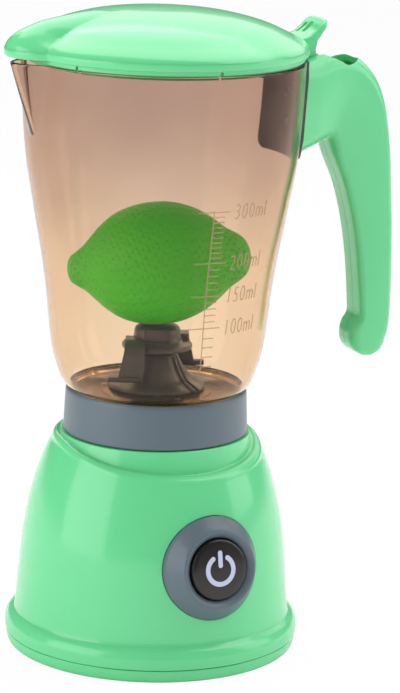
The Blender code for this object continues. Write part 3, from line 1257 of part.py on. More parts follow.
def button_group(axis):
    """Add the button, the switch plunger behind it, the switch and the cradle that holds it."""
    frame = button_frame()
    top = -BUTTON_SUNK
    skirt_foot = top - BUTTON_CROWN - BUTTON_SKIRT
    profile = [
        (0.0, top), (0.65 * BUTTON_R, top - 0.3 * BUTTON_CROWN), (0.95 * BUTTON_R, top - BUTTON_CROWN),
        (BUTTON_R, top - 2.0 * BUTTON_CROWN), (BUTTON_R, skirt_foot), (BUTTON_R - BUTTON_WALL, skirt_foot),
        (BUTTON_R - BUTTON_WALL, top - BUTTON_CROWN - BUTTON_TOP), (BUTTON_STEM_R, top - BUTTON_CROWN - BUTTON_TOP),
        (BUTTON_STEM_R, -BUTTON_STEM_FOOT), (0.0, -BUTTON_STEM_FOOT),
    ]
    turned("button", profile, "black", axis, frame, sides=32)
    plunger_top = -BUTTON_STEM_FOOT - GAP
    rod("switch_plunger", PLUNGER_R, plunger_top - PLUNGER_LENGTH, plunger_top, "white", axis, frame)
    plate_top = -BEZEL_TUBE_FOOT - GAP
    plate_foot = plate_top - CRADLE_PLATE
    inner_r = BEZEL_TUBE_R + GAP
    cradle = [
        (CRADLE_HOLE_R, plate_foot), (CRADLE_R, plate_foot), (CRADLE_R, plate_top + CRADLE_LIP),
        (inner_r, plate_top + CRADLE_LIP), (inner_r, plate_top), (CRADLE_HOLE_R, plate_top),
    ]
    turned("switch_cradle", cradle, "white", None, frame, sides=SIDES_SMALL + SIDES_TINY)
    half = 0.5 * SWITCH_SIDE
    face = plate_foot - GAP
    body = block("push_switch", (-half, -half, face - SWITCH_DEPTH), (half, half, face), "black", None, frame)
    bore = rod("switch_bore", PLUNGER_R + GAP, face - SWITCH_BORE, face + OVERRUN, "black", None, frame)
    cut(body, bore)


def build():
    """Build every piece of the toy."""
    clear_scene()
    base_shell()
    bottom_cover()
    battery_case()
    collar_ring()
    motor_group()
    bezel()
    motor_drive(add_axis("drive_axis", (0.0, 0.0, 0.0)))
    button_axis = add_axis("button_axis", button_frame().translation)
    button_group(button_axis)
    jug_axis = add_axis("jug_axis", (0.0, 0.0, 0.0))
    body = jug()
    body.parent = jug_axis
    jug_bush()
    spindle_cone()
    impeller_group(add_axis("impeller_axis", (0.0, 0.0, 0.0)))
    lime(add_axis("lime_axis", (0.0, 0.0, 0.0)))
    handle_half("handle_front_half", -1.0, jug_axis)
    handle_half("handle_rear_half", 1.0, jug_axis)
    jug_spigot(jug_axis)
    handle_pad(jug_axis)
    handle_bracket(jug_axis)
    hinge = add_axis("hinge_axis", (HINGE_X, 0.0, HINGE_Z))
    rod("hinge_pin", HINGE_PIN_R, -HINGE_PIN_HALF, HINGE_PIN_HALF, "steel", jug_axis,
        along(Vector((HINGE_X, 0.0, HINGE_Z)), (0.0, 1.0, 0.0)))
    lid(hinge)


build()
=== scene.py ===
"""Looks of the toy blender: its fine shapes, its finishes and the studio around it.

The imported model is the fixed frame. Each visible solid is replaced by a finer piece that is
modelled here, and the solids inside keep their own shape and get a finish.
"""

import logging
import math
from collections.abc import Callable, Iterator, Sequence
from contextlib import contextmanager
from dataclasses import dataclass
from enum import Enum, auto
from functools import cached_property

import bpy
import mathutils.kdtree
from mathutils import Matrix, Vector


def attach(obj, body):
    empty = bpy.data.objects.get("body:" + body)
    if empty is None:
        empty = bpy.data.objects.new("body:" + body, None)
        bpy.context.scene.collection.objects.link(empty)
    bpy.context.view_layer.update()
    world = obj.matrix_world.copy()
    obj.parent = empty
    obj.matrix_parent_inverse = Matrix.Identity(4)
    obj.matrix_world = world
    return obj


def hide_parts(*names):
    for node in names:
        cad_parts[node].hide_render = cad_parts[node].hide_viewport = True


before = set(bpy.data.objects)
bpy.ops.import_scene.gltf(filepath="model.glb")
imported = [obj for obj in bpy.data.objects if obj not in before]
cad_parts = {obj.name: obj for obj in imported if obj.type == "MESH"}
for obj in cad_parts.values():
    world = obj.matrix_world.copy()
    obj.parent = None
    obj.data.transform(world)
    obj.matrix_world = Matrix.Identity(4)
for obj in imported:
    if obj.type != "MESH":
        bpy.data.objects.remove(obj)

log = logging.getLogger("toy_blender")

Point2 = tuple[float, float]
Colour = tuple[float, float, float]
HERE = Matrix.Identity(4)
FULL_TURN = 2.0 * math.pi


class Body(str, Enum):
    """The bodies that pieces ride on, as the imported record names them."""

    BASE = "base"
    BUTTON = "button_body"
    JUG = "jug_body"
    IMPELLER = "impeller_body"
    LID = "lid_body"
    LIME = "lime_body"


class Slot(str, Enum):
    """The record's material slots of the visible pieces."""

    MINT = "mint"
    SLATE = "slate"
    SMOKE = "smoke"
    DARK_SMOKE = "dark_smoke"
    BLACK = "black"
    GREEN = "green"


# Numbers, curves and places


def mix(low: float, high: float, share: float) -> float:
    """Return the value a share of the way from low to high."""
    return low + (high - low) * share


def smooth(share: float) -> float:
    """Return a share eased in and out, held between 0 and 1."""
    held = min(max(share, 0.0), 1.0)
    return held * held * (3.0 - 2.0 * held)


def quarter(steps: int) -> list[float]:
    """Return the angles of a quarter turn in even steps, both ends included."""
    return [0.5 * math.pi * step / steps for step in range(steps + 1)]


def read_curve(table: Sequence[Point2], at: float) -> float:
    """Read a smooth monotone curve through a table of (position, value) pairs.

    Args:
        table: The pairs, by rising position.
        at: Where to read.

    Returns:
        The value there, held at the table's ends.
    """
    if at <= table[0][0]:
        return table[0][1]
    if at >= table[-1][0]:
        return table[-1][1]
    slopes = [(b[1] - a[1]) / (b[0] - a[0]) for a, b in zip(table, table[1:])]
    inner = [0.0 if a * b <= 0.0 else 2.0 * a * b / (a + b) for a, b in zip(slopes, slopes[1:])]
    tangents = [slopes[0], *inner, slopes[-1]]
    number = next(n for n in range(len(slopes)) if at <= table[n + 1][0])
    low, high = table[number], table[number + 1]
    span = high[0] - low[0]
    t = (at - low[0]) / span
    return ((2 * t**3 - 3 * t**2 + 1) * low[1] + (t**3 - 2 * t**2 + t) * span * tangents[number]
            + (-2 * t**3 + 3 * t**2) * high[1] + (t**3 - t**2) * span * tangents[number + 1])


def flow(points: Sequence[Sequence[float]], per_span: int) -> list[tuple[float, ...]]:
    """Draw a smooth line through points of any number of coordinates.

    Args:
        points: The points that the line passes.
        per_span: How many steps each span is drawn in.

    Returns:
        The points of the line, the first and last ones included.
    """
    held = [points[0], *points, points[-1]]
    line = [tuple(0.5 * (2 * b + (c - a) * t + (2 * a - 5 * b + 4 * c - d) * t * t
                         + (3 * b - a - 3 * c + d) * t**3) for a, b, c, d in zip(*span))
            for span in zip(held, held[1:], held[2:], held[3:])
            for t in (step / per_span for step in range(per_span))]
    return [*line, tuple(points[-1])]


def bow(start: Sequence[float], pull: Sequence[float], end: Sequence[float], steps: int) -> list[Point2]:
    """Return a curve between two points that a third one pulls at, both ends included."""
    return [tuple(a * (1 - t) ** 2 + b * 2 * t * (1 - t) + c * t**2 for a, b, c in zip(start, pull, end))
            for t in (step / steps for step in range(steps + 1))]


def rounded(corners: Sequence[Point2], radii: Sequence[float], steps: int) -> list[Point2]:
    """Round the corners of an open outline.

    Args:
        corners: The outline's corners.
        radii: How much of each side a corner's round takes, 0 for a sharp one.
        steps: How many steps each round is drawn in.

    Returns:
        The points of the rounded outline.
    """
    line: list[Point2] = []
    for number, (corner, radius) in enumerate(zip(corners, radii)):
        if radius <= 0.0:
            line.append(corner)
            continue
        here = Vector(corner)
        sides = [Vector(corners[number + way]) - here for way in (-1, 1)]
        start, end = (here + side.normalized() * min(radius, 0.48 * side.length) for side in sides)
        line += bow(start, corner, end, steps)
    return line


def polar(radius: float, height: float, angle: float) -> Vector:
    """Return the point at a radius, height and angle about the drive axis."""
    return Vector((radius * math.cos(angle), radius * math.sin(angle), height))


def off_spout(angle: float) -> float:
    """Return how far an angle is from the spout side."""
    return abs(math.remainder(angle - math.pi, FULL_TURN))


def spin(degrees: float, axis: str = "Z") -> Matrix:
    """Return the turn by an angle about an axis."""
    return Matrix.Rotation(math.radians(degrees), 4, axis)


def around(radius: float, *degrees: float) -> list[Matrix]:
    """Return the places at a radius and at angles about the drive axis."""
    return [Matrix.Translation(polar(radius, 0.0, math.radians(angle))) for angle in degrees]


def along(place: Sequence[float], direction: Sequence[float]) -> Matrix:
    """Return the matrix that puts local +Z along a direction at a place."""
    return Matrix.Translation(place) @ Vector(direction).to_track_quat("Z", "Y").to_matrix().to_4x4()


def upright(x: float, z: float, y: float) -> Vector:
    """Return the point of an outline that is drawn in the XZ plane, at a distance along Y."""
    return Vector((x, y, z))


# Shader building


class Shade:
    """A shader socket that takes part in plain sums."""

    def __init__(self, bench: "Bench", socket: bpy.types.NodeSocket) -> None:
        """Keep the socket and the bench that it belongs to."""
        self.bench = bench
        self.socket = socket

    def _math(self, operation: str, other: "Shade | float") -> "Shade":
        """Return the result of a Math node on this value and another."""
        node = self.bench.node("ShaderNodeMath", {0: self, 1: other}, operation=operation)
        return Shade(self.bench, node.outputs[0])

    def __add__(self, other: "Shade | float") -> "Shade":
        """Add."""
        return self._math("ADD", other)

    __radd__ = __add__

    def __sub__(self, other: "Shade | float") -> "Shade":
        """Subtract."""
        return self._math("SUBTRACT", other)

    def __mul__(self, other: "Shade | float") -> "Shade":
        """Multiply."""
        return self._math("MULTIPLY", other)

    def either(self, other: "Shade") -> "Shade":
        """Return the greater of two values."""
        return self._math("MAXIMUM", other)

    def above(self, edge: float) -> "Shade":
        """Return 1 where the value is over an edge."""
        return self._math("GREATER_THAN", edge)


class Bench:
    """Where the nodes of one material, or of the world, are put together."""

    def __init__(self, owner: bpy.types.Material | bpy.types.World, output: str = "Material") -> None:
        """Start an empty node tree with its output."""
        self.owner = owner
        owner.use_nodes = True
        self.tree = owner.node_tree
        self.tree.nodes.clear()
        self.output = self.node(f"ShaderNodeOutput{output}")

    @classmethod
    def material(cls, name: str) -> "Bench":
        """Start an empty material of that name."""
        return cls(bpy.data.materials.new(name))

    @cached_property
    def place(self) -> bpy.types.NodeSocket:
        """The object's own coordinates."""
        return self.node("ShaderNodeTexCoord").outputs["Object"]

    def node(self, kind: str, values: dict[object, object] | None = None,
             **settings: object) -> bpy.types.Node:
        """Add a node.

        Args:
            kind: The node's type.
            values: Its inputs, as numbers, colours, sockets or shades.
            **settings: Its properties, set first.

        Returns:
            The node.
        """
        made = self.tree.nodes.new(kind)
        for key, value in settings.items():
            setattr(made, key, value)
        for key, value in (values or {}).items():
            socket = made.inputs[key]
            source = value.socket if isinstance(value, Shade) else value
            if isinstance(source, bpy.types.NodeSocket):
                self.tree.links.new(source, socket)
            else:
                socket.default_value = (*source, 1.0) if socket.type == "RGBA" else source
        return made

    def noise(self, scale: float, detail: float = 2.0, place: bpy.types.NodeSocket | None = None) -> Shade:
        """Return a noise value over the object's own coordinates, or over others."""
        made = self.node("ShaderNodeTexNoise", {
            "Vector": place or self.place, "Scale": scale, "Detail": detail})
        return Shade(self, made.outputs[0])

    def axis(self, number: int) -> Shade:
        """Return one of the object's own coordinates."""
        return Shade(self, self.node("ShaderNodeSeparateXYZ", {0: self.place}).outputs[number])

    def ray(self, kind: str) -> Shade:
        """Return 1 for light rays of a kind."""
        return Shade(self, self.node("ShaderNodeLightPath").outputs[f"Is {kind} Ray"])

    def seen(self) -> Shade:
        """Return 1 where the camera looks, also through clear plastic."""
        return self.ray("Camera").either(self.ray("Transmission"))

    def blend(self, factor: Shade, first: object, second: object) -> bpy.types.NodeSocket:
        """Return the colour between two colours."""
        return self.node("ShaderNodeMix", {0: factor, 6: first, 7: second}, data_type="RGBA").outputs[2]

    def bump(self, height: Shade, depth: float, strength: float = 1.0) -> bpy.types.NodeSocket:
        """Return a normal bent by a height pattern."""
        made = self.node("ShaderNodeBump", {"Height": height, "Distance": depth, "Strength": strength})
        return made.outputs[0]

    def principled(self, values: dict[object, object]) -> bpy.types.Node:
        """Add the Principled shader."""
        return self.node("ShaderNodeBsdfPrincipled", values)

    def show(self, shader: bpy.types.Node, where: str = "Surface") -> bpy.types.ID:
        """Link a shader to the output and return the finished material or world."""
        self.tree.links.new(shader.outputs[0], self.output.inputs[where])
        return self.owner


def scaled(colour: Colour, by: float) -> Colour:
    """Return a colour made darker or lighter."""
    return tuple(min(1.0, part * by) for part in colour)


@dataclass(frozen=True)
class MouldedPlastic:
    """Opaque moulded plastic with a faint orange peel and slight flow marks."""

    name: str
    colour: Colour
    roughness: float
    coat: float = 0.0
    mottle: float = 0.06
    grain_scale: float = 900.0
    grain_depth: float = 0.00002
    glow: float = 0.0

    def build(self) -> bpy.types.Material:
        """Return the material."""
        bench = Bench.material(self.name)
        cloud = bench.noise(22.0)
        tones = [scaled(self.colour, by) for by in (1.0 - 1.6 * self.mottle, 1.0 + self.mottle)]
        peel = bench.noise(self.grain_scale) + bench.noise(70.0, 1.0) * 1.5
        return bench.show(bench.principled({
            "Base Color": bench.blend(cloud * 0.7 + bench.noise(340.0) * 0.3, *tones),
            "Roughness": self.roughness + (cloud - 0.5) * 0.10,
            "Coat Weight": self.coat,
            "Coat Roughness": 0.06,
            "IOR": 1.5,
            "Normal": bench.bump(peel, self.grain_depth),
            "Subsurface Weight": self.glow,
            "Subsurface Radius": (0.6, 1.0, 0.7),
            "Subsurface Scale": 0.004,
        }))


@dataclass(frozen=True)
class ClearPlastic:
    """Clear tinted plastic whose colour deepens with its thickness; painted shade darkens its base colour
    towards its top.
    """

    name: str
    tint: Colour
    density: float
    # low is the plastic's own colour lower down; high is painted shade, the darker colour it turns to towards
    # the top.
    low: Colour
    high: Colour
    painted_shade_from_z: float = 0.120
    painted_shade_full_z: float = 0.208
    roughness: float = 0.045
    shadow: Colour = (0.80, 0.70, 0.60)

    def build(self) -> bpy.types.Material:
        """Return the material."""
        bench = Bench.material(self.name)
        # Painted shade: the base colour goes from low to high as the height rises, blotched by noise, so the
        # jug is darker towards its top.
        height = bench.axis(2) + (bench.noise(26.0) - 0.5) * 0.045
        rise = bench.node("ShaderNodeMapRange", {
            "Value": height, 1: self.painted_shade_from_z, 2: self.painted_shade_full_z, 3: 0.0, 4: 1.0}, interpolation_type="SMOOTHSTEP")
        glass = bench.principled({
            "Base Color": bench.blend(Shade(bench, rise.outputs[0]), self.low, self.high),
            "Roughness": self.roughness + (bench.noise(60.0) - 0.5) * 0.02,
            "IOR": 1.30,
            "Transmission Weight": 1.0,
            "Normal": bench.bump(bench.noise(14.0, 1.0), 0.0004, 0.5),
        })
        clear = bench.node("ShaderNodeBsdfTransparent", {"Color": self.shadow})
        bench.show(bench.node("ShaderNodeVolumeAbsorption", {
            "Color": self.tint, "Density": self.density}), "Volume")
        return bench.show(bench.node("ShaderNodeMixShader", {
            0: bench.ray("Shadow"), 1: glass.outputs[0], 2: clear.outputs[0]}))


@dataclass(frozen=True)
class RaisedMark:
    """The jug's raised scale, which catches light over the dark and dims the light behind."""

    name: str
    colour: Colour
    cover: float

    def build(self) -> bpy.types.Material:
        """Return the material."""
        bench = Bench.material(self.name)
        worn = bench.noise(420.0)
        return bench.show(bench.principled({
            "Base Color": bench.blend(worn, scaled(self.colour, 0.85), self.colour),
            "Roughness": 0.22 + worn * 0.15,
            "Alpha": self.cover * 0.8 + worn * (self.cover * 0.4),
            "IOR": 1.5,
        }))


@dataclass(frozen=True)
class LimeSkin:
    """Soft green vinyl skin."""

    name: str
    colour: Colour
    shade: Colour

    def build(self) -> bpy.types.Material:
        """Return the material."""
        bench = Bench.material(self.name)
        cloud = bench.noise(38.0, 3.0)
        fine = bench.noise(900.0)
        return bench.show(bench.principled({
            "Base Color": bench.blend(cloud * 0.7 + fine * 0.3, self.shade, self.colour),
            "Roughness": 0.42 + (cloud - 0.5) * 0.12,
            "Subsurface Weight": 0.06,
            "Subsurface Radius": (0.5, 1.0, 0.2),
            "Subsurface Scale": 0.002,
            "Normal": bench.bump(fine, 0.00006),
        }))


@dataclass(frozen=True)
class BareMetal:
    """Plated or plain metal with fine turning or rolling marks along one axis."""

    name: str
    colour: Colour
    roughness: float
    stretch: tuple[float, float, float] = (1.0, 1.0, 18.0)

    def build(self) -> bpy.types.Material:
        """Return the material."""
        bench = Bench.material(self.name)
        drawn = bench.node("ShaderNodeMapping", {"Vector": bench.place, "Scale": self.stretch})
        mark = bench.noise(260.0, 4.0, drawn.outputs[0])
        return bench.show(bench.principled({
            "Base Color": bench.blend(mark, scaled(self.colour, 0.8), self.colour),
            "Roughness": self.roughness + (mark - 0.5) * 0.25,
            "Metallic": 1.0,
            "Normal": bench.bump(mark, 0.00004, 0.6),
        }))


@dataclass(frozen=True)
class CellSleeve:
    """A dry cell's shrink sleeve: two plain bands of colour along its length."""

    name: str
    band: Colour
    body: Colour
    split_x: float

    def build(self) -> bpy.types.Material:
        """Return the material."""
        bench = Bench.material(self.name)
        cloud = bench.noise(90.0)
        return bench.show(bench.principled({
            "Base Color": bench.blend(bench.axis(0).above(self.split_x), self.body, self.band),
            "Roughness": 0.30 + (cloud - 0.5) * 0.1,
            "Coat Weight": 0.3,
            "Normal": bench.bump(cloud, 0.00005),
        }))


class Finishes:
    """All the finishes of the toy, made once."""

    def __init__(self) -> None:
        """Build each material."""
        self.mint = MouldedPlastic("mint_gloss", (0.150, 0.725, 0.315), 0.22, coat=0.35, mottle=0.02,
                                   grain_depth=0.000012, glow=0.12).build()
        self.slate = MouldedPlastic("slate_satin", (0.122, 0.164, 0.198), 0.37, coat=0.06, mottle=0.05,
                                    grain_scale=1500.0, grain_depth=0.00003).build()
        # The smoke's last two colours: its own colour low down, and the painted shade it darkens to towards
        # the top.
        self.smoke = ClearPlastic("smoke_clear", (0.86, 0.575, 0.20), 262.0, (1.0, 0.975, 0.935),
                                  (0.72, 0.645, 0.665)).build()
        self.dark = MouldedPlastic("dark_smoke", (0.040, 0.043, 0.066), 0.32, coat=0.30, mottle=0.10,
                                   grain_depth=0.000006).build()
        self.brown = MouldedPlastic("brown_smoke", (0.098, 0.066, 0.064), 0.30, coat=0.2, mottle=0.14,
                                    grain_depth=0.000006).build()
        self.mark = RaisedMark("scale_mark", (0.62, 0.42, 0.26), 0.50).build()
        self.black = MouldedPlastic("button_black", (0.014, 0.011, 0.009), 0.28, coat=0.3,
                                    mottle=0.10).build()
        self.symbol = MouldedPlastic("symbol_print", (0.60, 0.64, 0.86), 0.35, mottle=0.05).build()
        self.white = MouldedPlastic("natural_white", (0.78, 0.77, 0.72), 0.45, mottle=0.04).build()
        self.steel = BareMetal("zinc_steel", (0.62, 0.62, 0.63), 0.34).build()
        self.brass = BareMetal("plain_brass", (0.78, 0.58, 0.26), 0.32).build()
        self.cell = CellSleeve("cell_sleeve", (0.62, 0.36, 0.08), (0.03, 0.03, 0.035), 0.012).build()
        self.lime = LimeSkin("lime_skin", (0.056, 0.78, 0.005), (0.034, 0.58, 0.003)).build()


# Mesh building


class Ends(Enum):
    """How a wrapped skin closes at its first and its last ring."""

    JOINED = auto()
    FILLED = auto()
    POINTS = auto()


@contextmanager
def editing(selected: bool = True) -> Iterator[None]:
    """Hold the active piece in edit mode, with all or none of it selected."""
    bpy.ops.object.mode_set(mode="EDIT")
    bpy.ops.mesh.select_all(action="SELECT" if selected else "DESELECT")
    yield
    bpy.ops.object.mode_set(mode="OBJECT")


class Shop:
    """The hand tools that pieces are modelled with."""

    @staticmethod
    def pick(*items: bpy.types.Object) -> None:
        """Select these pieces only, or none, and make the first one active."""
        bpy.ops.object.select_all(action="DESELECT")
        for item in items:
            item.select_set(True)
        if items:
            bpy.context.view_layer.objects.active = items[0]

    @staticmethod
    def _mend(merge: float = 1e-7) -> None:
        """Merge the active piece's doubled points and turn its faces outwards."""
        with editing():
            bpy.ops.mesh.remove_doubles(threshold=merge)
            bpy.ops.mesh.normals_make_consistent(inside=False)

    @staticmethod
    def settle(name: str, matrix: Matrix = HERE) -> bpy.types.Object:
        """Name the active piece, apply its place and scale, and move its mesh."""
        item = bpy.context.object
        item.name = name
        bpy.ops.object.transform_apply(location=True, rotation=True, scale=True)
        item.data.transform(matrix)
        return item

    @classmethod
    def wrapped(cls, name: str, rows: int, columns: int, place: Callable[[int, int, float], Vector],
                ends: Ends = Ends.JOINED) -> bpy.types.Object:
        """Wrap a grid into a closed skin.

        Args:
            name: The piece's name.
            rows: How many rings the skin has.
            columns: How many steps each ring has.
            place: Gives a point from a ring's number, a step's number and the step's angle.
            ends: How the first and the last ring close.

        Returns:
            The object, smooth shaded, with its faces outwards.
        """
        steps = rows if ends is Ends.JOINED else rows - 1
        cls.pick()
        bpy.ops.mesh.primitive_grid_add(x_subdivisions=columns, y_subdivisions=steps, size=2.0)
        item = cls.settle(name)
        for vertex in item.data.vertices:
            number, row = (round(0.5 * (part + 1.0) * count)
                           for part, count in zip(vertex.co, (columns, steps)))
            number %= columns
            vertex.co = place(row % rows, number, FULL_TURN * number / columns)
        cls._mend()
        if ends is Ends.FILLED:
            with editing(False):
                bpy.ops.mesh.select_mode(type="EDGE")
                bpy.ops.mesh.select_non_manifold()
                bpy.ops.mesh.fill_holes(sides=0)
                bpy.ops.mesh.select_mode(type="VERT")
            cls._mend()
        cls.soften(item)
        return item

    @classmethod
    def ringed(cls, name: str, columns: int, profile: Callable[[int, float], Sequence[Point2]],
               matrix: Matrix = HERE) -> bpy.types.Object:
        """Wrap a closed profile that changes on its way round the axis.

        Args:
            name: The piece's name.
            columns: How many steps the way round has.
            profile: Gives the (radius, height) points from a step's number and angle.
            matrix: Where the piece's own axis stands.

        Returns:
            The object.
        """
        lines = [profile(number, FULL_TURN * number / columns) for number in range(columns)]
        return cls.wrapped(name, len(lines[0]), columns,
                           lambda row, number, angle: matrix @ polar(*lines[number][row], angle))

    @classmethod
    def prism(cls, name: str, outline: Sequence[Point2], levels: Sequence[object],
              place: Callable[..., Vector] = lambda x, y, z: Vector((x, y, z))) -> bpy.types.Object:
        """Draw a closed outline out through levels and fill its ends.

        Args:
            name: The piece's name.
            outline: The outline's points.
            levels: The levels, one for each ring.
            place: Gives a point from an outline's two coordinates and a level.

        Returns:
            The object.
        """
        return cls.wrapped(name, len(levels), len(outline),
                           lambda row, number, angle: place(*outline[number], levels[row]), Ends.FILLED)

    @classmethod
    def turned(cls, name: str, profile: Sequence[Point2], steps: int, matrix: Matrix = HERE,
               angle: float = 32.0) -> bpy.types.Object:
        """Turn a half profile into a closed piece with the spin tool.

        Args:
            name: The piece's name.
            profile: (radius, height) points; a profile off the axis closes on itself.
            steps: How many steps the turn has.
            matrix: Where the piece's own axis stands.
            angle: The edge angle in degrees past which shading is sharp.

        Returns:
            The object, with its faces outwards.
        """
        points = list(profile)
        if min(points[0][0], points[-1][0]) > 0.0:
            points.append(points[0])
        cls.pick()
        bpy.ops.mesh.primitive_plane_add(size=0.001)
        item = cls.settle(name)
        with editing():
            bpy.ops.mesh.merge(type="CENTER")
            here = Vector((0.0, 0.0, 0.0))
            for number, (radius, height) in enumerate(points):
                move = Vector((radius, 0.0, height)) - here
                if number:
                    bpy.ops.mesh.extrude_vertices_move(TRANSFORM_OT_translate={"value": move})
                else:
                    bpy.ops.transform.translate(value=move)
                here += move
            bpy.ops.mesh.select_all(action="SELECT")
            bpy.ops.mesh.spin(steps=steps, angle=FULL_TURN, center=(0.0, 0.0, 0.0), axis=(0.0, 0.0, 1.0))
        cls._mend(2e-7)
        item.data.transform(matrix)
        cls.soften(item, angle)
        return item

    @classmethod
    def soften(cls, item: bpy.types.Object, angle: float = 32.0) -> None:
        """Shade a piece smooth and keep its sharp edges."""
        cls.pick(item)
        bpy.ops.object.shade_smooth_by_angle(angle=math.radians(angle))

    @classmethod
    def bar(cls, name: str, radius: float, low: float, high: float, matrix: Matrix,
            sides: int) -> bpy.types.Object:
        """Add a plain round bar along a place's own +Z, used to cut or to join."""
        cls.pick()
        bpy.ops.mesh.primitive_cylinder_add(vertices=sides, radius=radius, depth=high - low,
                                            location=(0.0, 0.0, 0.5 * (low + high)))
        return cls.settle(name, matrix)

    @classmethod
    def slab(cls, name: str, low: Sequence[float], high: Sequence[float], matrix: Matrix = HERE,
             round_by: float = 0.0, segments: int = 3) -> bpy.types.Object:
        """Add a block with rounded edges.

        Args:
            name: The piece's name.
            low: Its lowest corner.
            high: Its highest corner.
            matrix: A turn and place for it.
            round_by: The radius of its edges.
            segments: How many steps each round has.

        Returns:
            The object.
        """
        cls.pick()
        bpy.ops.mesh.primitive_cube_add(size=1.0, location=[0.5 * (a + b) for a, b in zip(low, high)])
        bpy.context.object.scale = [b - a for a, b in zip(low, high)]
        item = cls.settle(name)
        if round_by > 0.0:
            with editing():
                bpy.ops.mesh.bevel(offset=round_by, segments=segments, profile=0.5)
        item.data.transform(matrix)
        cls.soften(item, 40.0)
        return item

    @classmethod
    def apply(cls, item: bpy.types.Object, kind: str, **settings: object) -> None:
        """Add a modifier and apply it at once."""
        cls.pick(item)
        change = item.modifiers.new(kind.lower(), kind)
        for key, value in settings.items():
            setattr(change, key, value)
        bpy.ops.object.modifier_apply(modifier=change.name)

    @classmethod
    def merge(cls, item: bpy.types.Object, others: Sequence[bpy.types.Object],
              operation: str = "DIFFERENCE") -> bpy.types.Object:
        """Cut a piece by other shapes, or grow it by them; they are used up."""
        for other in others:
            cls.apply(item, "BOOLEAN", operation=operation, solver="EXACT", object=other)
            bpy.data.objects.remove(other, do_unlink=True)
        cls.soften(item, 30.0)
        return item

    @classmethod
    def joined(cls, name: str, items: Sequence[bpy.types.Object]) -> bpy.types.Object:
        """Join several meshes into one piece."""
        cls.pick(*items)
        bpy.ops.object.join()
        items[0].name = name
        return items[0]


def dress(item: bpy.types.Object, finish: bpy.types.Material, body: Body, slot: Slot,
          *stands_for: str) -> None:
    """Give a finished piece its material, its body and the nodes it stands for.

    Args:
        item: The piece.
        finish: Its material.
        body: The body that it moves with.
        slot: The record's slot for its finish; not used.
        *stands_for: The solids that it replaces.
    """
    item.data.materials.clear()
    item.data.materials.append(finish)
    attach(item, body.value)
    if stands_for:
        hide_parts(*stands_for)
    log.info("%s rides on %s and stands for %s", item.name, body.value, stands_for or "no solid")


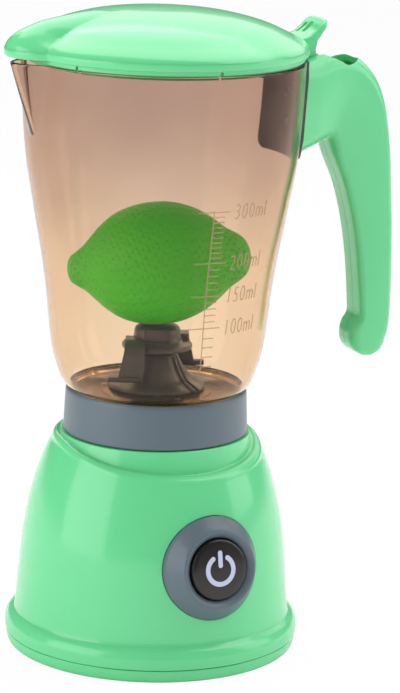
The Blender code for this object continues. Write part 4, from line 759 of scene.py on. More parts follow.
@dataclass
class BaseHousing:
    """The mint base: shell, bottom cover, battery door and the slate collar on top."""

    foot_r: float = 0.0499
    foot_z: float = 0.0130
    neck_r: float = 0.0340
    neck_top: float = 0.0792
    neck_lean: float = 0.12
    step: float = 0.0009
    wall: float = 0.0023
    flange_r: float = 0.0531
    parting: float = 0.0050
    gap: float = 0.0003
    valley: float = 0.0783
    drop: float = 0.0079
    valley_high: float = 0.0778
    valley_blend: float = 0.0009
    rise: float = 0.0009
    round_z: float = 0.0026
    shoulder: float = 0.42
    post_places: tuple[float, ...] = (40.0, 140.0, 220.0, 320.0)
    post_circle: float = 0.0442
    post: tuple[Point2, ...] = ((0.0014, 0.0033), (0.0038, 0.0033), (0.0038, 0.026), (0.0014, 0.026))
    dome: tuple[Point2, ...] = (
        (0.0, 1.0), (0.045, 0.973), (0.165, 0.930), (0.30, 0.879), (0.434, 0.819), (0.539, 0.745),
        (0.629, 0.664), (0.711, 0.570), (0.778, 0.477), (0.838, 0.383), (0.894, 0.282), (0.936, 0.188),
        (0.973, 0.087), (1.0, 0.0),
    )
    flange: tuple[Point2, ...] = (
        (0.0, 0.992), (0.04, 0.9975), (0.30, 1.0), (0.55, 0.9965), (0.78, 0.979), (0.91, 0.957),
        (0.975, 0.9425),
    )

    def dome_radius(self, height: float) -> float:
        """Return the shell's outer radius at a height."""
        share = (height - self.foot_z) / (self.neck_top - self.foot_z)
        return mix(self.neck_r + self.step, self.foot_r, read_curve(self.dome, share))

    def neck_radius(self, height: float) -> float:
        """Return the neck's radius at a height."""
        return self.neck_r + self.neck_lean * (self.neck_top - height)

    def valley_height(self, angle: float) -> float:
        """Return the height of the groove between neck and shoulder."""
        low = self.valley - self.drop * math.cos(angle + 0.5 * math.pi)
        above = math.exp((self.valley_high - low) / self.valley_blend)
        return self.valley_high - self.valley_blend * math.log1p(above)

    def _outside(self, angle: float) -> list[Point2]:
        """Return the shell's outer profile at an angle, from the parting line to the neck."""
        low = self.parting + 0.5 * self.gap
        valley = self.valley_height(angle)
        crest = valley + self.rise
        bend = crest - self.round_z
        out = self.dome_radius(bend)
        neck = self.neck_radius(valley)
        edge = mix(neck, out, self.shoulder)
        lip = valley + min(0.0012, 0.6 * (self.neck_top - valley))
        heights = [mix(self.foot_z + 0.0002, bend, step / 60) for step in range(61)]
        return [
            *((self.flange_r * share, mix(low, self.foot_z, rise)) for rise, share in flow(self.flange, 4)),
            *((self.dome_radius(height), height) for height in heights),
            *((mix(edge, out, math.cos(t)), bend + self.round_z * math.sin(t)) for t in quarter(12)[1:]),
            *bow((edge, crest), (neck, valley - 0.0002), (self.neck_radius(lip), lip), 12)[1:],
        ]

    def build_shell(self, finishes: Finishes, button: "PowerButton") -> None:
        """Model the shell with its sloping shoulder, its screw posts and its button hole."""
        top = self.neck_top
        inner_neck, inner_flange = self.neck_r - self.wall, self.flange_r - self.wall
        heights = [mix(self.foot_z, top, share) for share in (0.74, 0.60, 0.40, 0.20, 0.045)]
        inside = [(self.neck_r, top - 0.0002), (self.neck_r - 0.0002, top), (0.0070, top),
                  (0.0070, top - 0.0022), (inner_neck, top - 0.0022),
                  (inner_neck, mix(self.foot_z, top, 0.83)),
                  *((self.dome_radius(height) - self.wall, height) for height in heights),
                  (inner_flange, self.foot_z - self.wall), (inner_flange, self.parting + 0.5 * self.gap)]
        shell = Shop.ringed("base_housing", 160, lambda number, angle: self._outside(angle) + inside)
        posts = [Shop.turned("post", self.post, 24, spot)
                 for spot in around(self.post_circle, *self.post_places)]
        hole = Shop.bar("hole", button.tube_r + self.gap, -0.0140, 0.0015, button.frame(), 96)
        Shop.merge(shell, [hole, button.groove(self)])
        shell = Shop.joined("base_housing", [shell, *posts])
        dress(shell, finishes.mint, Body.BASE, Slot.MINT, "base_shell")

    def build_cover(self, finishes: Finishes) -> None:
        """Model the bottom cover with its battery opening and screw wells, and the battery door."""
        rim = self.parting - 0.5 * self.gap
        side = flow([(0.0496, 0.0), (0.0508, 0.0002), (0.0519, 0.0010), (0.0525, 0.0028),
                     (0.0527, rim - 0.0002)], 5)
        cover = Shop.turned("bottom_plate", [
            (0.0, 0.0), *side, (0.0526, rim), (0.0505, rim), (0.0505, rim + 0.003), (0.0490, rim + 0.003),
            (0.0490, 0.0030), (0.0, 0.0030)], 192)
        cuts = [Shop.slab("opening", (-0.0283, -0.0178, -0.001), (0.0283, 0.0178, 0.004))]
        for spot in around(self.post_circle, *self.post_places):
            cuts.append(Shop.bar("well", 0.0027, -0.001, 0.00179, spot, 32))
            cuts.append(Shop.bar("shank", 0.0014, -0.001, 0.004, spot, 24))
        Shop.merge(cover, cuts)
        dress(cover, finishes.mint, Body.BASE, Slot.MINT, "bottom_cover")
        door = Shop.slab("battery_hatch", (-0.028, -0.0175, 0.0), (0.028, 0.0175, 0.002), HERE, 0.0004, 2)
        grooves = [Shop.slab("groove", (x, -0.009, -0.001), (x + 0.0009, 0.009, 0.0006))
                   for x in (0.0135 + 0.0019 * number for number in range(6))]
        Shop.merge(door, grooves)
        dress(door, finishes.mint, Body.BASE, Slot.MINT, "battery_door")

    def build_collar(self, finishes: Finishes) -> None:
        """Model the slate collar ring."""
        foot = self.neck_top + self.gap
        corners = [(0.0090, foot), (0.0329, foot), (0.0332, foot + 0.0004), (0.03285, 0.0872),
                   (0.0325, 0.0954), (0.0306, 0.0954), (0.0306, foot + 0.003), (0.0090, foot + 0.003)]
        outline = rounded(corners, (0, 0.0003, 0.0003, 0.004, 0.0017, 0.0004, 0.0006, 0), 5)
        ring = Shop.turned("collar", outline, 192, HERE, 40.0)
        dress(ring, finishes.slate, Body.BASE, Slot.SLATE, "collar_ring")


@dataclass
class PowerButton:
    """The slate bezel, the black button and the printed power symbol."""

    turn: float = 4.0
    tilt: float = 8.0
    centre_z: float = 0.0406
    face_r: float = 0.0520
    tube_r: float = 0.0124
    tube_foot: float = 0.0125
    bezel_r: float = 0.0184
    bezel_gap: float = 0.00025
    bezel_lip: float = 0.0009
    bezel_crown: float = 0.00035
    ridge_r: float = 0.0133
    button_r: float = 0.01085
    proud: float = 0.0004
    columns: int = 144
    trench: tuple[Point2, ...] = (
        (-0.0012, -0.0009), (0.00022, -0.0009), (0.00040, 0.0020), (-0.0012, 0.0020),
    )
    symbol_r: float = 0.0050
    stroke_half: float = 0.00085
    stroke_top: float = 0.00007
    stroke_foot: float = -0.0002

    def frame(self) -> Matrix:
        """Return the button's frame: origin on the bezel's ridge, local +Z outwards."""
        turn, tilt = math.radians(self.turn), math.radians(self.tilt)
        flat = Vector((math.sin(turn), -math.cos(turn), 0.0))
        outward = flat * math.cos(tilt) + Vector((0.0, 0.0, math.sin(tilt)))
        across = Vector((0.0, 0.0, 1.0)).cross(outward).normalized()
        place = flat * self.face_r + Vector((0.0, 0.0, self.centre_z))
        turned = Matrix((across, outward.cross(across), outward)).transposed()
        return Matrix.Translation(place) @ turned.to_4x4()

    def _rim(self, housing: BaseHousing, radius: float) -> list[float]:
        """Return where the shell's face lies along the button's axis, on a ring about it.

        Args:
            housing: The base, whose shell is met.
            radius: The ring's radius.

        Returns:
            The depth at each step round the ring.
        """
        frame_here = self.frame()
        depths = []
        for number in range(self.columns):
            low, high = -0.03, 0.01
            for _ in range(36):
                middle = 0.5 * (low + high)
                point = frame_here @ polar(radius, middle, FULL_TURN * number / self.columns)
                if math.hypot(point.x, point.y) > housing.dome_radius(point.z):
                    high = middle
                else:
                    low = middle
            depths.append(low)
        return depths

    def groove(self, housing: BaseHousing) -> bpy.types.Object:
        """Shape the narrow groove that the bezel's edge stands over."""
        edge = self._rim(housing, self.bezel_r)
        return Shop.ringed("groove", self.columns, lambda number, angle: [
            (self.bezel_r + out, edge[number] + rise) for out, rise in self.trench], self.frame())

    def build_bezel(self, finishes: Finishes, housing: BaseHousing) -> None:
        """Model the bezel, whose outer edge follows the shell."""
        bore = self.button_r + 0.0003
        start = (self.ridge_r + 0.0008, -0.0003)
        inner = [(bore, -self.tube_foot), *rounded(
            [(bore, -0.006), (bore, -0.0017), (self.ridge_r, 0.0), start], (0.0, 0.0007, 0.0007, 0.0), 5)]
        halfway = 0.5 * (self.tube_r + self.bezel_r)
        edge, near, mid = (self._rim(housing, radius) for radius in (self.bezel_r, self.tube_r, halfway))

        def profile(number: int, angle: float) -> list[Point2]:
            """Return the bezel's section at a step round it."""
            foot = edge[number] + self.bezel_gap
            lip = foot + self.bezel_lip
            cone = [(mix(start[0], self.bezel_r - 0.0004, t),
                     mix(start[1], lip, t) + self.bezel_crown * math.sin(math.pi * t))
                    for t in (step / 9 for step in range(1, 10))]
            return [*inner, *cone, (self.bezel_r - 0.0001, lip - 0.0002), (self.bezel_r, lip - 0.0005),
                    (self.bezel_r, foot), (halfway, mid[number] + self.bezel_gap),
                    (self.tube_r + 0.0001, near[number] + self.bezel_gap),
                    (self.tube_r, near[number] - 0.0005), (self.tube_r, -self.tube_foot)]

        bezel = Shop.ringed("button_surround", self.columns, profile, self.frame())
        Shop.soften(bezel, 38.0)
        dress(bezel, finishes.slate, Body.BASE, Slot.SLATE, "bezel")

    def _face(self, radius: float) -> float:
        """Return the height of the button's domed face at a radius."""
        return self.proud - 0.0005 * (radius / self.button_r) ** 2

    def build_button(self, finishes: Finishes) -> None:
        """Model the button with its soft edge and the power symbol printed on it."""
        foot = self.proud - 0.0066
        face = [(share * self.button_r, self._face(share * self.button_r))
                for share in (0.0, 0.15, 0.3, 0.45, 0.6, 0.72, 0.82, 0.89)]
        edge = [(share * self.button_r, self.proud - down)
                for share, down in ((0.935, 0.00055), (0.965, 0.00075), (0.987, 0.0011), (1.0, 0.0016))]
        inside = self.button_r - 0.0013
        button = Shop.turned("push_cap", [
            *face, *edge, (self.button_r, foot), (inside, foot), (inside, -0.0024), (0.0030, -0.0024),
            (0.0030, -0.0105), (0.0, -0.0105)], 128, self.frame(), 40.0)
        dress(button, finishes.black, Body.BUTTON, Slot.BLACK, "button")
        ring = [(self.symbol_r * math.sin(angle), self.symbol_r * math.cos(angle))
                for angle in (math.radians(degrees) for degrees in range(34, 327, 4))]
        symbol = Shop.joined("power_symbol", [self._stroke(ring), self._stroke(
            [(0.0, 0.0016 + 0.0005 * number) for number in range(10)])])
        symbol.data.transform(self.frame())
        Shop.soften(symbol, 30.0)
        dress(symbol, finishes.symbol, Body.BUTTON, Slot.BLACK)

    def _stroke(self, line: Sequence[Point2]) -> bpy.types.Object:
        """Model one printed stroke with round ends that lies on the button's face."""
        half = self.stroke_half
        spots = [Vector(point) for point in line]
        runs = [(after - before).normalized() for before, after in
                zip([spots[0], *spots[:-1]], [*spots[1:], spots[-1]])]
        ends = quarter(8)
        spine = [
            *((spots[0] - runs[0] * half * math.cos(t), runs[0], half * math.sin(t)) for t in ends[:-1]),
            *((spot, run, half) for spot, run in zip(spots, runs)),
            *((spots[-1] + runs[-1] * half * math.sin(t), runs[-1], half * math.cos(t)) for t in ends[1:]),
        ]

        def place(row: int, number: int, angle: float) -> Vector:
            """Return a corner of a cross-section of the stroke."""
            spot, run, wide = spine[row]
            flat = spot + Vector((-run.y, run.x)) * (wide, wide, -wide, -wide)[number]
            lift = self.stroke_top if number in (0, 3) else self.stroke_foot
            return Vector((flat.x, flat.y, self._face(flat.length) + lift))

        return Shop.wrapped("stroke", len(spine), 4, place, Ends.FILLED)


@dataclass
class Jug:
    """The smoky jug, its raised scale, its foot and the cone on its floor."""

    seat_z: float = 0.0957
    foot_r: float = 0.0325
    rim_r: float = 0.0502
    rim_z: float = 0.2140
    wall: float = 0.0017
    rings: int = 96
    spout_reach: float = 0.0073
    spout_z: float = 0.1880
    spout_half: Point2 = (6.0, 15.5)
    floor_z: float = 0.0952
    curve: tuple[Point2, ...] = (
        (0.0, 0.0), (0.0237, 0.096), (0.049, 0.164), (0.0744, 0.223), (0.11, 0.288), (0.149, 0.333),
        (0.22, 0.385), (0.298, 0.441), (0.396, 0.534), (0.4945, 0.6525), (0.5926, 0.7655), (0.69, 0.873),
        (0.797, 0.9407), (0.90, 0.981), (1.0, 1.0),
    )
    marks: tuple[tuple[str, float], ...] = (
        ("300ml", 0.1669), ("200ml", 0.1485), ("150ml", 0.1364), ("100ml", 0.1247),
    )
    low_ticks: tuple[float, ...] = (0.1210, 0.1177, 0.1142, 0.1106)
    tick: float = 0.0042
    half_line: float = 0.00018
    print_lift: float = 0.00002

    def radius(self, height: float) -> float:
        """Return the jug's outer radius at a height, without the spout."""
        share = (height - self.seat_z) / (self.rim_z - self.seat_z)
        return mix(self.foot_r, self.rim_r, read_curve(self.curve, share))

    def spout(self, height: float, angle: float) -> float:
        """Return how far the spout stands out of the wall at a height and an angle."""
        share = min(max((height - self.spout_z) / (self.rim_z - self.spout_z), 0.0), 1.0)
        half = math.radians(mix(*self.spout_half, share))
        off = off_spout(angle)
        return self.spout_reach * share * math.cos(0.5 * math.pi * off / half) ** 2 if off < half else 0.0

    def build_body(self, finishes: Finishes) -> None:
        """Model the jug as one closed clear wall with a rounded rim."""
        under, seat, rim_r, rim_z = self.floor_z - 0.0018, self.seat_z, self.rim_r, self.rim_z
        in_r = rim_r - self.wall
        heights = [seat + (rim_z - seat) * step / self.rings for step in range(1, self.rings)]
        inside = [(self.radius(height) - self.wall, height) for height in heights[:2:-1]]
        last = inside[-1]
        rows = [
            (0.0300, under), (0.0302, under + 0.0002), (0.0302, 0.0954), (0.0305, seat), (0.0312, seat),
            (0.0320, seat + 0.0001), *((self.radius(height), height) for height in heights),
            (rim_r, rim_z - 0.0006), (rim_r - 0.0002, rim_z - 0.0002), (rim_r - 0.0006, rim_z),
            (in_r + 0.0006, rim_z), (in_r + 0.0002, rim_z - 0.0002), (in_r, rim_z - 0.0006), *inside,
            *flow([last, (mix(0.0288, last[0], 0.62), 0.0972), (0.0290, seat),
                   (0.0270, self.floor_z)], 5)[1:],
            (0.0034, self.floor_z), (0.0034, under),
        ]
        jug = Shop.ringed("smoky_jug", 240, lambda number, angle: [
            (radius + self.spout(height, angle), height) for radius, height in rows])
        Shop.soften(jug, 40.0)
        dress(jug, finishes.smoke, Body.JUG, Slot.SMOKE, "jug")

    def build_spigot(self, finishes: Finishes) -> None:
        """Model the dark spigot under the jug, with a recess on each side of its plate."""
        top = self.floor_z - 0.0021
        seat = top - 0.0015
        corners = [(0.0285, 0.0845), (0.0302, 0.0845), (0.0302, top), (0.0100, top), (0.0100, seat),
                   (0.0285, seat)]
        spigot = Shop.turned("spigot", rounded(corners, (0, 0.0004, 0.0003, 0.0002, 0.0002, 0), 3), 160)
        cuts = []
        for start in (118.0, 298.0):
            turns = [math.radians(start + 12.0 * step) for step in range(8)]
            near, far = ([tuple(polar(radius, 0.0, turn))[:2] for turn in turns]
                         for radius in (0.0205, 0.0246))
            cuts.append(Shop.prism("recess", near + far[::-1], (top - 0.0011, top + 0.001)))
        cuts += [Shop.bar("shank", 0.0014, seat - 0.001, top + 0.001, spot, 24)
                 for spot in around(0.01905, 30.0, 150.0, 270.0)]
        Shop.merge(spigot, cuts)
        dress(spigot, finishes.brown, Body.JUG, Slot.DARK_SMOKE, "jug_spigot")

    def _raise(self, item: bpy.types.Object, spots: Sequence[Point2], thickness: float) -> bpy.types.Object:
        """Lay a flat mesh on the front wall and give it thickness.

        Args:
            item: The flat mesh.
            spots: The width and height at which each of its points comes to lie.
            thickness: How far it stands out.

        Returns:
            The mesh.
        """
        for vertex, (across, height) in zip(item.data.vertices, spots):
            radius = self.radius(height)
            vertex.co = polar(radius + self.print_lift, height, -0.5 * math.pi + across / radius)
        Shop.apply(item, "SOLIDIFY", thickness=thickness, offset=1.0)
        return item

    def _rule(self, low: Point2, high: Point2) -> bpy.types.Object:
        """Model one raised line of the scale between two corners on the wall."""
        columns, rows = (max(2, round(abs(b - a) / each)) for a, b, each in zip(low, high, (0.001, 0.002)))
        Shop.pick()
        bpy.ops.mesh.primitive_grid_add(x_subdivisions=columns, y_subdivisions=rows, size=2.0)
        item = bpy.context.object
        spots = [tuple(mix(a, b, 0.5 * (part + 1.0)) for a, b, part in zip(low, high, vertex.co))
                 for vertex in item.data.vertices]
        return self._raise(item, spots, 0.00022)

    def _label(self, text: str, left: float, middle: float, size: float) -> bpy.types.Object:
        """Model one raised label of the scale, wrapped on the wall."""
        Shop.pick()
        bpy.ops.object.text_add()
        letters = bpy.context.object.data
        for key, value in {"body": text, "size": size, "align_y": "CENTER", "shear": 0.12, "offset": -0.00011,
                           "resolution_u": 3, "space_character": 1.15}.items():
            setattr(letters, key, value)
        bpy.ops.object.convert(target="MESH")
        item = bpy.context.object
        spots = [(left + 0.66 * vertex.co.x, middle + vertex.co.y) for vertex in item.data.vertices]
        return self._raise(item, spots, 0.0002)

    def build_scale(self, finishes: Finishes) -> None:
        """Model the raised scale: its line, ticks and plain numbers."""
        half = self.half_line
        parts = [self._rule((-half, 0.1085), (half, 0.1675))]
        heights = [height for _, height in self.marks]
        ticks = [mix(low, high, number / count)
                 for low, high, count in zip(heights[1:], heights, (10, 5, 5)) for number in range(1, count)]
        parts += [self._rule((0.0, height - half), (self.tick, height + half))
                  for height in (*ticks, *self.low_ticks)]
        for text, height in self.marks:
            parts.append(self._rule((-0.0058, height - half), (0.0062, height + half)))
            parts.append(self._label(text, 0.0078, height - 0.0006, 0.0083))
        scale = Shop.joined("jug_scale", parts)
        Shop.soften(scale, 30.0)
        dress(scale, finishes.mark, Body.JUG, Slot.SMOKE)

    def build_cone(self, finishes: Finishes) -> None:
        """Model the dark cone that covers the spindle, with its two ribs."""
        foot = self.floor_z + 0.0003
        top = foot + 0.0127
        shares = flow([(0.0, 1.0), (0.07, 0.97), (0.26, 0.60), (0.50, 0.37), (0.70, 0.24), (0.96, 0.10)], 5)
        flank = [(mix(0.0060, 0.0173, share), mix(foot, top, rise)) for rise, share in shares]
        inside = [(max(radius - 0.0018, 0.0028), max(height - 0.0012, foot))
                  for radius, height in flank[:0:-1]]
        cone = Shop.turned("floor_cone", [*flank, (0.0060, top - 0.0001), (0.0058, top), (0.0026, top),
                                          (0.0026, top - 0.0015), *inside, (0.0155, foot)], 96)
        middle = flank[2:-1]
        outline = [(radius + 0.0009, height + 0.0003) for radius, height in middle]
        outline += [(radius - 0.0007, height - 0.0002) for radius, height in reversed(middle)]
        ribs = [Shop.prism("rib", outline, (-0.0004, 0.0004), upright) for _ in range(2)]
        for fin, degrees in zip(ribs, (-64.0, -55.0)):
            fin.data.transform(spin(degrees))
        cone = Shop.joined("floor_cone", [cone, *ribs])
        Shop.soften(cone, 35.0)
        dress(cone, finishes.dark, Body.JUG, Slot.DARK_SMOKE, "spindle_cone")


@dataclass
class Handle:
    """The two hollow halves of the mint handle and the pad at its root."""

    reach: float = 0.0907
    top: float = 0.2150
    foot: float = 0.1012
    root_half: float = 0.0155
    wall: float = 0.0018
    corner: float = 0.36
    foot_corner: float = 0.55
    near_corner: float = 0.60
    solid_from: float = 0.90
    seam: float = 0.00012
    root_r: float = 0.0502
    clearance: float = 0.0003
    stations: tuple[tuple[float, ...], ...] = (
        (0.0, 0.685, 0.0, 0.978, 1.0), (0.106, 0.695, 0.168, 0.998, 0.86),
        (0.205, 0.710, 0.378, 1.0, 0.71), (0.286, 0.719, 0.575, 0.975, 0.606),
        (0.333, 0.695, 0.741, 0.921, 0.548), (0.373, 0.661, 0.840, 0.849, 0.51),
        (0.422, 0.622, 0.899, 0.758, 0.484), (0.484, 0.571, 0.941, 0.653, 0.465),
        (0.548, 0.499, 0.965, 0.539, 0.452), (0.600, 0.420, 0.985, 0.438, 0.452),
        (0.637, 0.341, 0.995, 0.350, 0.452), (0.664, 0.262, 1.0, 0.262, 0.452),
        (0.684, 0.183, 0.998, 0.178, 0.452), (0.689, 0.134, 0.993, 0.121, 0.452),
        (0.642, 0.109, 0.988, 0.0905, 0.452), (0.610, 0.082, 0.980, 0.064, 0.45),
        (0.612, 0.051, 0.958, 0.036, 0.445), (0.657, 0.023, 0.914, 0.016, 0.41),
        (0.731, 0.005, 0.847, 0.003, 0.33),
    )
    screws: tuple[tuple[float, float, float], ...] = (
        (0.42, 0.86, 0.62), (0.61, 0.755, 0.51), (0.842, 0.18, 0.452),
    )
    pin: tuple[float, float, float] = (0.0546, 0.0, 0.2114)
    pad: float = 0.0013
    recess: tuple[Point2, ...] = (
        (0.0584, 0.0084), (0.0604, 0.0097), (0.0636, 0.0102), (0.0672, 0.0100), (0.0705, 0.0088),
        (0.0729, 0.0065), (0.0741, 0.0034), (0.0745, 0.0),
    )

    def _at(self, share_x: float, share_z: float) -> Vector:
        """Return the point in the handle's middle plane at shares of its reach and height."""
        return Vector((mix(self.root_r, self.reach, share_x), 0.0, mix(self.foot, self.top, share_z)))

    def _section(self, station: Sequence[float], way: float, fill: float, soft: float) -> list[Vector]:
        """Return one closed cross-section of a half: its outside and back along its inside.

        Args:
            station: The shares of the inner and outer edge and of the half width.
            way: -1 for the front half, 1 for the rear one.
            fill: 0 where the half is hollow, 1 where it is solid.
            soft: The share of the half width that the corner's round takes.

        Returns:
            The section's points.
        """
        low, high = self._at(*station[:2]), self._at(*station[2:4])
        length = (high - low).length
        step = (high - low) / length
        wide = self.root_half * station[4]
        points: list[Vector] = []
        for inset in (0.0, self.wall):
            corner = max(soft * min(wide, 0.5 * length), 1.15 * inset)
            flat, half = wide - corner, wide - inset
            path = [
                (inset, self.seam), (inset, 0.5 * flat),
                *((mix(corner, inset, math.cos(t)), mix(flat, half, math.sin(t))) for t in quarter(7)),
                *((length - mix(corner, inset, math.sin(t)), mix(flat, half, math.cos(t)))
                  for t in quarter(7)),
                (length - inset, 0.5 * flat), (length - inset, self.seam),
            ]
            if inset:
                path = [(across, mix(out, self.seam, fill)) for across, out in reversed(path)]
            points += [low + step * across + Vector((0.0, way * out, 0.0)) for across, out in path]
        return points

    def build_half(self, name: str, way: float, finishes: Finishes, jug: Jug, node: str) -> None:
        """Model one half with its top opening, ear and screw wells."""
        rows = flow(self.stations, 6)
        sections = []
        for number, station in enumerate(rows):
            share = number / (len(rows) - 1)
            soft = mix(0.40, self.near_corner, smooth(share / 0.05))
            soft += (self.corner - self.near_corner) * smooth((share - 0.18) / 0.15)
            soft += (self.foot_corner - self.corner) * smooth((share - 0.76) / 0.10)
            sections.append(self._section(station, way, smooth((share - self.solid_from) / 0.03), soft))
        root = [self._on_wall(jug, point.y, point.z, self.pad) for point in sections[0]]
        for number in range(6):
            sections[number] = [start.lerp(end, number / 6) for start, end in zip(root, sections[6])]
        half = Shop.wrapped(name, len(sections), len(root), lambda row, number, angle: sections[row][number],
                            Ends.FILLED)
        near, far = sorted((way * 0.0087, way * 0.0108))
        solids = [Shop.slab("ear", (0.0523, near, 0.2093), (0.0570, far, 0.2126))]
        side = flow(self.recess, 4)
        side.insert(0, (0.0418, 0.0084))
        outline = [(x, -y) for x, y in side] + side[-2::-1]
        cuts = [Shop.prism("opening", outline, (0.2085, 0.2165))]
        for share_x, share_z, width in self.screws:
            side_y = self.root_half * width
            here = along(self._at(share_x, share_z), (0.0, way, 0.0))
            solids.append(Shop.bar("boss", 0.0033, self.seam, side_y - 0.0009, here, 24))
            if way > 0.0:
                cuts.append(Shop.bar("well", 0.0027, side_y - 0.00212, side_y + 0.0015, here, 32))
            cuts.append(Shop.bar("shank", 0.0014, -0.001, side_y if way > 0.0 else 0.0045, here, 24))
        cuts.append(Shop.bar("pin", 0.0015, 0.008, 0.0105, along(self.pin, (0.0, way, 0.0)), 24))
        Shop.merge(half, solids, "UNION")
        Shop.merge(half, cuts)
        dress(half, finishes.mint, Body.JUG, Slot.MINT, node)

    def _on_wall(self, jug: Jug, across: float, height: float, out: float) -> Vector:
        """Return the point at a distance out from the jug wall's clearance."""
        radius = jug.radius(height) + self.clearance + out
        return Vector((math.sqrt(radius * radius - across * across), across, height))

    def build_pad(self, finishes: Finishes, jug: Jug) -> None:
        """Model the dark pad between the jug and the handle's root."""
        low, high, half, turn_r = 0.1775, 0.2128, 0.0163, 0.0040
        rows = [(low + turn_r * (1.0 - math.cos(t)), half - turn_r * (1.0 - math.sin(t)))
                for t in quarter(10)]
        rows += [(mix(rows[-1][0], high, step / 6), half) for step in range(1, 7)]
        side = 17

        def place(row: int, number: int, angle: float) -> Vector:
            """Return the point of the pad's ring at one height."""
            height, wide = rows[row]
            near = number < side
            step = (number if near else 2 * side - 1 - number) / (side - 1)
            return self._on_wall(jug, mix(-wide, wide, step), height, 0.0 if near else 0.0010)

        pad = Shop.wrapped("wall_pad", len(rows), 2 * side, place, Ends.FILLED)
        heights = [mix(0.18495, 0.20601, share) for share in (0.20, 0.74)]
        Shop.merge(pad, [Shop.bar("hole", 0.0028, 0.04, 0.06, along((0.0, 0.0, height), (1.0, 0.0, 0.0)), 32)
                         for height in heights])
        dress(pad, finishes.brown, Body.JUG, Slot.DARK_SMOKE, "handle_pad")


